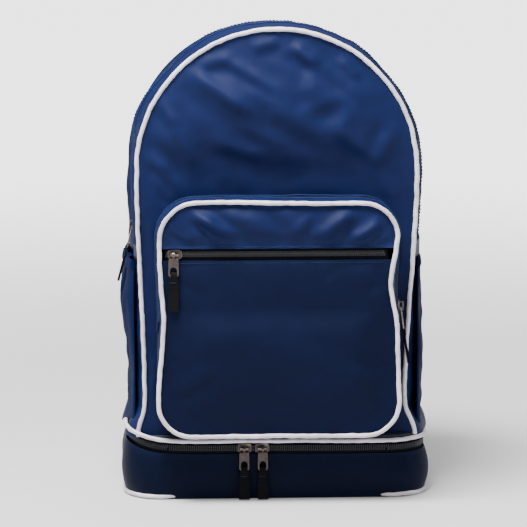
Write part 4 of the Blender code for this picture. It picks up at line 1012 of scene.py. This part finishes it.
pad = pad + 0.4 * wavy(np.stack([X, X * 0, Z], -1), 60, 61, 2) * (1 - groove)
Yb = 69.6 + 3.2 * (1 - np.exp(-e / 4.0)) + pad
Z = Z - 5.0 * np.clip((Z - SPRING) / 141.0, 0, 1) ** 2
lower_gap = (np.abs(X) > 88) & (Z < 100) & (Z > 58)
Yb = np.where(lower_gap, np.minimum(Yb, 75.0), Yb)
on(sheet_mesh("back_pad", np.stack([X, Yb, Z], -1), MESH, 4.6, groove, out=(0, 1, 0)), "bag", ["back_panel"])
bt = arch(24.0, 70, 100)
bound = np.stack([bt[:, 0], bt[:, 0] * 0 + 70.4, bt[:, 1]], -1) + np.stack([bt[:, 2], bt[:, 2] * 0, bt[:, 3]], -1) * -0.6
corner = np.radians(np.linspace(0, -90, 8))
foot_r = np.stack([HALF_W - 20.6 + 20 * np.cos(corner), corner * 0 + 70.4, 24 + 20 * np.sin(corner)], -1)
foot_l = foot_r[::-1] * np.array([-1, 1, 1])
loop = np.concatenate([bound, foot_r[1:], foot_l[:-1]])
loop[:, 2] -= 5.0 * np.clip((loop[:, 2] - SPRING) / 141.0, 0, 1) ** 2
on(tube("back_binding", resample(np.concatenate([loop, loop[:1]]), 3.0)[:-1], 3.0, BINDING, 10, True, flat=1.0), "bag")

yx, yz = np.meshgrid(np.linspace(-1, 1, 60), np.linspace(396, 452, 26), indexing="ij")
yw = np.where(yz > 440, 88 - (yz - 440) * 1.5, 88.0)
yx = yx * yw
ee = np.clip(np.minimum(np.minimum(yw - np.abs(yx), 452 - yz), yz - 396), 0, None)
on(sheet_mesh("yoke_cloth", np.stack([yx, 75.5 + 1.9 * (1 - np.exp(-ee / 2.5)) + 0.15 * wavy(np.stack([yx, yx * 0, yz], -1), 30, 71, 2), yz], -1), NAVY, 1.6,
              np.exp(-ee / 3), out=(0, 1, 0)), "bag", ["strap_yoke"])
yl = np.array([[-84, 77.6, 400], [84, 77.6, 400], [84, 77.6, 438], [68, 77.6, 448.5], [-68, 77.6, 448.5], [-84, 77.6, 438], [-84, 77.6, 400]], float)
yl = resample(yl, 2.0)
on(stitches("yoke_stitches", yl, np.broadcast_to(np.array([0, 1.0, 0]), yl.shape).copy(), 3.4), "bag")


def strap_point(t):
    t = np.asarray(t, float)
    return np.stack([46.0 + 40.0 * (3 * t * t - 2 * t ** 3), 84.5 + 36.0 * np.sin(math.pi * np.minimum(1.0, t * 0.93) ** 0.9), 424.0 - 256.0 * t], -1)


def strap_frames(t):
    p = strap_point(t)
    tang = strap_point(np.minimum(t + 0.01, 1)) - strap_point(np.maximum(t - 0.01, 0))
    tang /= np.linalg.norm(tang, axis=-1, keepdims=True)
    across = np.array([1.0, 0, 0]) - tang * tang[..., 0:1]
    across /= np.linalg.norm(across, axis=-1, keepdims=True)
    out = np.cross(tang, across)
    out = out * np.sign(out[..., 1:2])
    return p, tang, across, out


def pad_half(t):
    w = (62.0 - 10.0 * t - np.where(t > 0.86, 22.0 * ((t - 0.86) / 0.14) ** 2, 0.0)) / 2
    return w


def strap_strip(name, side, t0, t1, n, half, low, high, mat, crown=0.0, sides=24, power=3.0, ends=0.0):
    """A band along the strap with a rounded section, low to high outward from the strap's middle."""
    t = np.linspace(t0, t1, n)
    p, tang, across, out = strap_frames(t)
    w = np.asarray([half(x) if callable(half) else half for x in t])
    a = np.linspace(0, 2 * math.pi, sides, endpoint=False)
    ca, sa = np.sign(np.cos(a)) * np.abs(np.cos(a)) ** (2 / power), np.sign(np.sin(a)) * np.abs(np.sin(a)) ** (2 / power)
    mid_h, half_h = (low + high) / 2, (high - low) / 2
    k = np.ones(n)
    if ends:
        k = np.sqrt(np.clip(1 - (1 - np.minimum(np.minimum(np.arange(n), n - 1 - np.arange(n)) / ends, 1)) ** 2, 0.12, 1))
    v = p[:, None] + across[:, None] * (w[:, None] * ca[None] * (0.96 + 0.04 * k[:, None]))[..., None] + out[:, None] * ((mid_h + half_h * sa[None] * (1 + crown * (1 - ca[None] ** 2))) * 1.0 * np.where(np.ones((n, 1)) > 0, 1, 1))[..., None] * 1.0
    v = p[:, None] + (v - p[:, None]) if not ends else p[:, None] + across[:, None] * (w[:, None] * ca[None] * (0.92 + 0.08 * k[:, None]))[..., None] + out[:, None] * (mid_h + half_h * sa[None] * k[:, None] * (1 + crown * (1 - ca[None] ** 2)))[..., None]
    v[..., 0] *= side
    idx = np.arange(n * sides).reshape(n, sides)
    quads = np.stack([idx[:-1], np.roll(idx[:-1], -1, 1), np.roll(idx[1:], -1, 1), idx[1:]], -1).reshape(-1, 4)
    faces = [list(q) for q in quads] + [list(idx[0]), list(idx[-1][::-1])]
    lu = np.concatenate([[0], np.cumsum(np.linalg.norm(np.diff(p, axis=0), axis=1))])
    uu = np.repeat(lu, sides)
    vv = (w[:, None] * ca[None]).ravel()
    bm = bmesh.new()
    me = bpy.data.meshes.new(name)
    me.from_pydata([tuple(x) for x in v.reshape(-1, 3) * MM], [], [tuple(int(i) for i in f) for f in faces])
    layer = me.uv_layers.new(name="UVMap")
    loops = np.zeros(len(me.loops), np.int64)
    me.loops.foreach_get("vertex_index", loops)
    layer.data.foreach_set("uv", (np.stack([vv, uu], -1)[loops] * MM).astype(np.float32).ravel())
    me.attributes.new("seam", "FLOAT", "POINT")
    ob = bpy.data.objects.new(name, me)
    bpy.context.scene.collection.objects.link(ob)
    me.materials.append(mat)
    bm.from_mesh(me)
    bmesh.ops.recalc_face_normals(bm, faces=bm.faces)
    bm.to_mesh(me)
    bm.free()
    me.shade_smooth()
    me.set_sharp_from_angle(angle=math.radians(60))
    return ob


def puffed(ob, pressure=3.5, cap=2.6, voxel=4.5):
    """Swells a padded piece with a short cloth simulation, keeps each point within the cap, and adds a subdivision."""
    src = ob.data
    start = ob.copy()
    start.data = src.copy()
    bpy.context.scene.collection.objects.link(start)
    bpy.context.view_layer.objects.active = start
    for o in bpy.context.selected_objects:
        o.select_set(False)
    start.select_set(True)
    rm = start.modifiers.new("remesh", "REMESH")
    rm.mode, rm.voxel_size = "VOXEL", voxel * MM
    dg = bpy.context.evaluated_depsgraph_get()
    me = bpy.data.meshes.new_from_object(start.evaluated_get(dg))
    start.modifiers.clear()
    start.data = me
    rest = np.zeros(len(me.vertices) * 3)
    me.vertices.foreach_get("co", rest)
    cl = start.modifiers.new("cloth", "CLOTH")
    cl.settings.use_pressure = True
    cl.settings.uniform_pressure_force = pressure
    cl.settings.effector_weights.gravity = 0.0
    cl.settings.quality = 4
    cl.settings.mass = 0.2
    cl.settings.tension_stiffness = 25
    cl.settings.bending_stiffness = 4.0
    cl.collision_settings.use_collision = False
    sc = bpy.context.scene
    for f in range(1, 15):
        sc.frame_set(f)
    dg = bpy.context.evaluated_depsgraph_get()
    done = bpy.data.meshes.new_from_object(start.evaluated_get(dg))
    now = np.zeros(len(done.vertices) * 3)
    done.vertices.foreach_get("co", now)
    move = (now - rest).reshape(-1, 3)
    size = np.linalg.norm(move, axis=1, keepdims=True)
    move = move * np.minimum(1, cap * MM / np.maximum(size, 1e-9))
    done.vertices.foreach_set("co", (rest.reshape(-1, 3) + move).ravel())
    bpy.data.objects.remove(start)
    sc.frame_set(1)
    done.update()
    ob.data = done
    if not done.materials:
        done.materials.append(src.materials[0])
    even = ob.modifiers.new("even", "SMOOTH")
    even.iterations, even.factor = 10, 0.5
    sub = ob.modifiers.new("sub", "SUBSURF")
    sub.levels = sub.render_levels = 1
    dg = bpy.context.evaluated_depsgraph_get()
    fine = bpy.data.meshes.new_from_object(ob.evaluated_get(dg))
    ob.modifiers.clear()
    ob.data = fine
    co = np.zeros(len(fine.vertices) * 3)
    fine.vertices.foreach_get("co", co)
    co = co.reshape(-1, 3)
    layer = fine.uv_layers.new(name="UVMap") if not fine.uv_layers else fine.uv_layers[0]
    loops = np.zeros(len(fine.loops), np.int64)
    fine.loops.foreach_get("vertex_index", loops)
    layer.data.foreach_set("uv", co[loops][:, [0, 2]].astype(np.float32).ravel())
    if "seam" not in fine.attributes:
        fine.attributes.new("seam", "FLOAT", "POINT")
    fine.shade_smooth()
    return ob


for side, word in ((-1, "left"), (1, "right")):
    body = f"strap_{word}"
    padp = strap_strip(f"strap_pad_{word}_cloth", side, 0.0, 1.0, 84, pad_half, -4.6, 4.6, MESH, crown=0.10, sides=26, power=2.8, ends=5)
    puffed(padp)
    on(padp, body, [f"strap_pad_{word}"])
    t = np.linspace(0.0, 1.0, 90)
    p, tang, across, out = strap_frames(t)
    hw = np.array([pad_half(x) for x in t]) - 1.7
    edges = []
    for s2 in (-1, 1):
        line = p + across * (hw * s2)[:, None]
        line[:, 0] *= side
        edges.append(line)
    head = [edges[0][0] * (1 - k) + edges[1][0] * k + np.array([0, 0, 2.2 * math.sin(math.pi * k) ** 0.4]) for k in np.linspace(0.08, 0.92, 16)]
    foot = [edges[1][-1] * (1 - k) + edges[0][-1] * k for k in np.linspace(0.1, 0.9, 8)]
    rim = np.concatenate([edges[0][::-1], np.array(head), edges[1], np.array(foot)])
    on(tube(f"strap_binding_{word}", resample(rim, 3.0), 3.7, BINDING, 12, True, flat=1.0), body)
    web = strap_strip(f"strap_webbing_{word}_strip", side, 0.30, 0.995, 60, 12.5, 6.9, 8.4, WEBBING, sides=14, power=6.0)
    on(web, body, [f"strap_webbing_{word}"])
    # stitched box outline where the webbing is sewn down, and two bar tacks lower down
    for k, (ta, tb) in enumerate(((0.31, 0.385), (0.62, 0.632), (0.94, 0.952))):
        tt_ = np.concatenate([np.linspace(ta, tb, 12), np.full(8, tb), np.linspace(tb, ta, 12), np.full(8, ta)])
        ww = np.concatenate([np.full(12, -10.4), np.linspace(-10.4, 10.4, 8), np.full(12, 10.4), np.linspace(10.4, -10.4, 8)])
        pq, _, ac, ou = strap_frames(tt_)
        q = pq + ac * ww[:, None] + ou * 8.35
        q[:, 0] *= side
        nn = ou * np.array([side, 1, 1])
        keep_q = np.concatenate([[True], np.linalg.norm(np.diff(q, axis=0), axis=1) > 0.05])
        on(stitches(f"strap_tack_{word}_{k}", q[keep_q], nn[keep_q], 3.2), body)
    # the webbing end that is folded round the adjuster's top bar
    p1, tang1, across1, out1 = (a[0] for a in strap_frames(np.array([1.0])))
    path = []
    for d, o in ((-16, 7.6), (-6, 7.2), (2, 6.0), (8, 3.6), (9.6, 0.0), (8, -2.9), (3, -3.7), (-4, -4.4)):
        path.append(p1 + tang1 * (d + 0.5) + out1 * o)
    path = resample(np.array(path), 1.6)
    path[:, 0] *= side
    acr = across1 * np.array([side, 1, 1])
    n = len(path)
    loopw = np.stack([path + acr * w for w in np.linspace(-12.4, 12.4, 12)], 0)
    on(sheet_mesh(f"adjuster_loop_{word}", loopw, WEBBING, 1.4, out=tuple(out1 * np.array([side, 1, 1]))), body)
    # lower webbing from the anchor to the adjuster
    lock_lo, lock_hi = (np.array(v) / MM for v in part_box(f"ladder_lock_{word}"))
    a0 = np.array([side * 118.0, 77.4, 80.0])
    lockc = (lock_lo + lock_hi) / 2
    tangs = tang1 * np.array([side, 1, 1])
    a3 = lockc + tangs * 5.0
    tt_ = np.linspace(0, 1, 30)[:, None]
    a1, a2 = a0 + np.array([side * -6.0, 1.0, 18.0]), a3 + tangs * 16.0
    bez = a0 * (1 - tt_) ** 3 + 3 * a1 * tt_ * (1 - tt_) ** 2 + 3 * a2 * tt_ ** 2 * (1 - tt_) + a3 * tt_ ** 3
    run_dir = a3 - a0
    run_dir /= np.linalg.norm(run_dir)
    wd = np.cross(run_dir, np.array([0, 1.0, 0]))
    wd /= np.linalg.norm(wd)
    wide = np.stack([bez + (wd * (1 - tt_) + acr * np.sign(wd @ acr) * tt_) * w for w in np.linspace(-12.4, 12.4, 12)], 0)
    lw = sheet_mesh(f"lower_webbing_{word}_strip", wide, WEBBING, 1.5, out=(0, 1, 0))
    bent(lw, "bag", body, tuple(a0 + run_dir * 8), tuple(a3), slot="webbing", nodes=[f"lower_webbing_{word}"])
    # anchor: a doubled triangle of cloth sewn into the side seam
    tri = np.array([[side * 96, 0, 66], [side * 139, 0, 66], [side * 139, 0, 92], [side * 112, 0, 79]], float)
    u, v = np.meshgrid(np.linspace(0, 1, 22), np.linspace(0, 1, 14), indexing="ij")
    q = tri[0] * ((1 - u) * (1 - v))[..., None] + tri[1] * (u * (1 - v))[..., None] + tri[2] * (u * v)[..., None] + tri[3] * ((1 - u) * v)[..., None]
    eu = np.minimum(np.minimum(u, 1 - u), np.minimum(v, 1 - v))
    q[..., 1] = 75.6 + 1.3 * smooth(eu, 0, 0.12)
    on(sheet_mesh(f"strap_anchor_{word}_cloth", q, NAVY, 1.0, 1 - smooth(eu, 0, 0.1), out=(0, 1, 0)), "bag", [f"strap_anchor_{word}"])

# haul loop: webbing with a rolled grip in the middle
leg, drop, bd = 31.0, 437.0, 16.0
ua = np.radians(np.linspace(180, 270, 12))
hl = np.concatenate([np.array([[-leg, 79.6, z] for z in np.linspace(463, 454, 5)]), np.stack([-leg + bd + bd * np.cos(ua), ua * 0 + 79.6, drop + bd + bd * np.sin(ua)], -1)])
hl = np.concatenate([hl, (hl * np.array([-1, 1, 1]))[::-1]])
hl = resample(hl, 1.6)
hs_ = np.linspace(-1, 1, len(hl))
grip = np.clip(1 - (np.abs(hs_) / 0.55) ** 6, 0, 1)
tang = np.gradient(hl, axis=0)
tang /= np.linalg.norm(tang, axis=1, keepdims=True)
side_v = np.cross(tang, np.array([0, 1.0, 0]))
sides = 18
a = np.linspace(0, 2 * math.pi, sides, endpoint=False)
ca, sa = np.sign(np.cos(a)) * np.abs(np.cos(a)) ** 0.4, np.sign(np.sin(a)) * np.abs(np.sin(a)) ** 0.6
v = hl[:, None] + side_v[:, None] * (8.9 * ca)[None, :, None] + np.array([0, 1.0, 0]) * ((1.35 + 1.5 * grip)[:, None] * sa[None])[..., None] + np.array([0, 1.0, 0]) * (0.9 * grip)[:, None, None]
idx = np.arange(len(hl) * sides).reshape(len(hl), sides)
quads = np.stack([idx[:-1], np.roll(idx[:-1], -1, 1), np.roll(idx[1:], -1, 1), idx[1:]], -1).reshape(-1, 4)
uvh = np.stack(np.meshgrid(np.arange(len(hl)) * 1.6, np.arange(sides) * 2.0, indexing="ij"), -1).reshape(-1, 2)[:, ::-1]
hob = from_arrays("haul_loop_webbing", v.reshape(-1, 3), [list(f) for f in quads] + [list(idx[0]), list(idx[-1][::-1])], WEBBING, uvh, np.zeros(len(hl) * sides))
bm = bmesh.new()
bm.from_mesh(hob.data)
bmesh.ops.recalc_face_normals(bm, faces=bm.faces)
bm.to_mesh(hob.data)
bm.free()
hob.data.shade_smooth()
on(hob, "haul_loop", ["haul_handle"])
# the patch the loop is sewn under, on the back panel
px_, pz_ = np.meshgrid(np.linspace(-44, 44, 34), np.linspace(452.5, 461.5, 8), indexing="ij")
ee = np.minimum(np.minimum(px_ + 44, 44 - px_), np.minimum(pz_ - 452.5, 461.5 - pz_))
pob = sheet_mesh("haul_loop_patch", np.stack([px_, 78.0 + 3.4 * smooth(ee, 0, 3.0) - 0.02 * np.abs(px_), pz_], -1), NAVY, 1.2, 1 - smooth(ee, 0, 2), out=(0, 1, 0))
on(pob, "haul_loop")


# ================================================================ sliders and pulls
def rot(axis, deg):
    c, s = math.cos(math.radians(deg)), math.sin(math.radians(deg))
    return {"X": np.array([[1, 0, 0], [0, c, -s], [0, s, c]]), "Y": np.array([[c, 0, s], [0, 1, 0], [-s, 0, c]]), "Z": np.array([[c, -s, 0], [s, c, 0], [0, 0, 1]])}[axis]


def ribbon(name, at, turn, length, curl, seed):
    """A ribbon folded in half through the tab's eye, its two ends laid together."""
    side_on = [(0.62, -length), (0.62, -length * 0.75), (0.62, -30), (0.9, -26), (1.45, -22.5), (1.5, -20.4), (1.05, -18.2), (0.0, -17.5),
               (-1.05, -18.2), (-1.5, -20.4), (-1.45, -22.5), (-0.9, -26), (-0.62, -30), (-0.62, -length * 0.75), (-0.62, -length)]
    pts = resample(np.array([(0, a, b) for a, b in side_on], float), 1.0)
    z = pts[:, 2]
    half = np.interp(z, [-60, -30, -25, -22.5, -19, -17], [5.4, 5.4, 4.9, 3.6, 2.9, 2.7])
    sway = curl * smooth(-z, 24, length) ** 1.5
    tang = np.gradient(pts, axis=0)
    tang /= np.linalg.norm(tang, axis=1, keepdims=True)
    nrm = np.stack([tang[:, 0] * 0, -tang[:, 2], tang[:, 1]], -1)
    w = np.array([-1, -0.96, -0.5, 0, 0.5, 0.96, 1, 0.96, 0.5, 0, -0.5, -0.96])
    h = np.array([0, 0.42, 0.5, 0.5, 0.5, 0.42, 0, -0.42, -0.5, -0.5, -0.5, -0.42]) * 1.05
    v = pts[:, None] + np.array([1.0, 0, 0]) * (half[:, None] * w[None])[..., None] + nrm[:, None] * (h[None] * (1 + 0 * half[:, None]))[..., None]
    v[..., 1] += sway[:, None] + 0.18 * np.sin(v[..., 2] / 5.0 + seed)
    v[..., 0] += 0.25 * np.sin(v[..., 2] / 9.0 + seed)
    v = v @ turn.T + np.array(at)
    k = len(w)
    idx = np.arange(len(pts) * k).reshape(len(pts), k)
    quads = np.stack([idx[:-1], np.roll(idx[:-1], -1, 1), np.roll(idx[1:], -1, 1), idx[1:]], -1).reshape(-1, 4)
    uvr = np.stack([(half[:, None] * w[None]).ravel(), np.repeat(np.arange(len(pts)) * 1.0, k)], -1)
    ob = from_arrays(name, v.reshape(-1, 3), [list(f) for f in quads] + [list(idx[0]), list(idx[-1][::-1])], RIBBON, uvr, np.zeros(len(pts) * k))
    bm = bmesh.new()
    bm.from_mesh(ob.data)
    bmesh.ops.recalc_face_normals(bm, faces=bm.faces)
    bm.to_mesh(ob.data)
    bm.free()
    ob.data.shade_smooth()
    ob.data.set_sharp_from_angle(angle=math.radians(60))
    return ob


xm, xp, fyc, byc, bz = -(HALF_W - 1.25), 118.0, -115.1, -86.75, 51.7
pulls = {
    "main": ((xm - 4.55, ZIP_Y, 268.2), rot("Y", 14) @ rot("Z", -90), 57.0, -0.8),
    "pocket": ((xp + 4.55, PZY, 195.2), rot("Y", -8) @ rot("Z", 90), 57.0, -0.5),
    "face": ((-104.2, fyc - 6.7, 253.0), np.eye(3), 57.0, -0.4),
    "base_left": ((-33.6, byc - 6.7, bz), rot("X", -3), 51.0, -0.3),
    "base_right": ((-14.9, byc - 6.7, bz), rot("X", -3), 51.0, -0.3),
}
for i, (word, (at, turn, length, curl)) in enumerate(pulls.items()):
    on(ribbon(f"{word}_ribbon", at, turn, length, curl, i * 1.7), f"{word}_pull", [f"{word}_pull_ribbon"])
    line = np.array([[x, -1.35, -27.5] for x in np.linspace(-4.2, 4.2, 8)]) @ turn.T + np.array(at)
    on(stitches(f"{word}_ribbon_stitch", line, np.broadcast_to(np.array([0, -1.0, 0]) @ turn.T, line.shape).copy(), 1.9), f"{word}_pull")

cad_looks = {}
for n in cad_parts:
    if n.endswith("zip_slider") or n.endswith("pull_tab"):
        cad_looks[n] = METAL
    elif n.startswith("ladder_lock"):
        cad_looks[n] = PLASTIC
    elif n in ("compartment_floor", "slip_pocket_lining"):
        cad_looks[n] = LINING
    elif n == "base_panel":
        cad_looks[n] = NAVY_DARK
    elif n == "base_board":
        cad_looks[n] = BOARD
for n, mat in cad_looks.items():
    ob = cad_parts[n]
    ob.data.materials.clear()
    ob.data.materials.append(mat)
    if mat in (METAL, PLASTIC):
        we = ob.modifiers.new("weld", "WELD")
        we.merge_threshold = 0.00001
        bv = ob.modifiers.new("bevel", "BEVEL")
        bv.width, bv.segments, bv.limit_method = (0.00028 if mat is METAL else 0.0006), 3, "ANGLE"
        bv.angle_limit = math.radians(28)


# ================================================================ floor, light and camera
def plane(name, size, z, mat):
    bm = bmesh.new()
    bmesh.ops.create_grid(bm, x_segments=2, y_segments=2, size=size)
    me = bpy.data.meshes.new(name)
    bm.to_mesh(me)
    bm.free()
    ob = bpy.data.objects.new(name, me)
    bpy.context.scene.collection.objects.link(ob)
    ob.location.z = z
    me.materials.append(mat)
    return ob


# Pale floor with a painted glow: its emission grows from 0.1 near the bag to 2.9 about three metres out, so the far
# floor reads white.
fm, fnt, fsh = nodes_of("pale_floor_painted_glow")
fsh.inputs["Base Color"].default_value = (0.52, 0.52, 0.53, 1)
fsh.inputs["Roughness"].default_value = 0.75
ftc = fnt.nodes.new("ShaderNodeTexCoord")
fl = fnt.nodes.new("ShaderNodeVectorMath")
fl.operation = "LENGTH"
fnt.links.new(ftc.outputs["Object"], fl.inputs[0])
fr = fnt.nodes.new("ShaderNodeMapRange")
fr.interpolation_type = "SMOOTHSTEP"
for k, v in (("From Min", 0.35), ("From Max", 3.0), ("To Min", 0.1), ("To Max", 2.9)):
    fr.inputs[k].default_value = v
fnt.links.new(fl.outputs["Value"], fr.inputs["Value"])
fsh.inputs["Emission Color"].default_value = (1, 1, 1, 1)
fnt.links.new(fr.outputs[0], fsh.inputs["Emission Strength"])
floor = plane("floor", 24.0, -0.0004, fm)

world = bpy.data.worlds.new("studio")
world.use_nodes = True
world.node_tree.nodes["Background"].inputs["Color"].default_value = (1.0, 1.0, 1.0, 1)
world.node_tree.nodes["Background"].inputs["Strength"].default_value = 0.45
bpy.context.scene.world = world


def area(name, at, look, size, power, colour=(1, 1, 1)):
    ld = bpy.data.lights.new(name, "AREA")
    ld.shape, ld.size, ld.size_y, ld.energy, ld.color = "RECTANGLE", size[0], size[1], power, colour
    ob = bpy.data.objects.new(name, ld)
    bpy.context.scene.collection.objects.link(ob)
    ob.location = at
    ob.rotation_euler = (Vector(look) - Vector(at)).to_track_quat("-Z", "Y").to_euler()
    return ob


area("key_top", (-0.40, -0.56, 1.75), (0, -0.05, 0.3), (0.9, 0.5), 118, (1.0, 0.99, 0.97))
area("fill_front", (-1.6, -2.4, 1.5), (0, 0, 0.3), (0.9, 0.9), 9)
area("fill_right", (2.0, -0.9, 1.3), (0, 0, 0.25), (1.0, 1.0), 9)
area("rim_back", (0.3, 1.7, 1.9), (0, 0, 0.35), (1.6, 0.8), 22)

az, el, dist = math.radians(-2.7), math.radians(8.5), 3.0
target = Vector((-0.0135, -0.0776, 0.2375))
cam = bpy.data.cameras.new("camera")
cam.lens, cam.sensor_width = 36.0 * dist / 0.527, 36.0
cam_ob = bpy.data.objects.new("camera", cam)
bpy.context.scene.collection.objects.link(cam_ob)
cam_ob.location = target + dist * Vector((math.sin(az) * math.cos(el), -math.cos(az) * math.cos(el), math.sin(el)))
cam_ob.rotation_euler = (target - cam_ob.location).to_track_quat("-Z", "Y").to_euler()
bpy.context.scene.camera = cam_ob
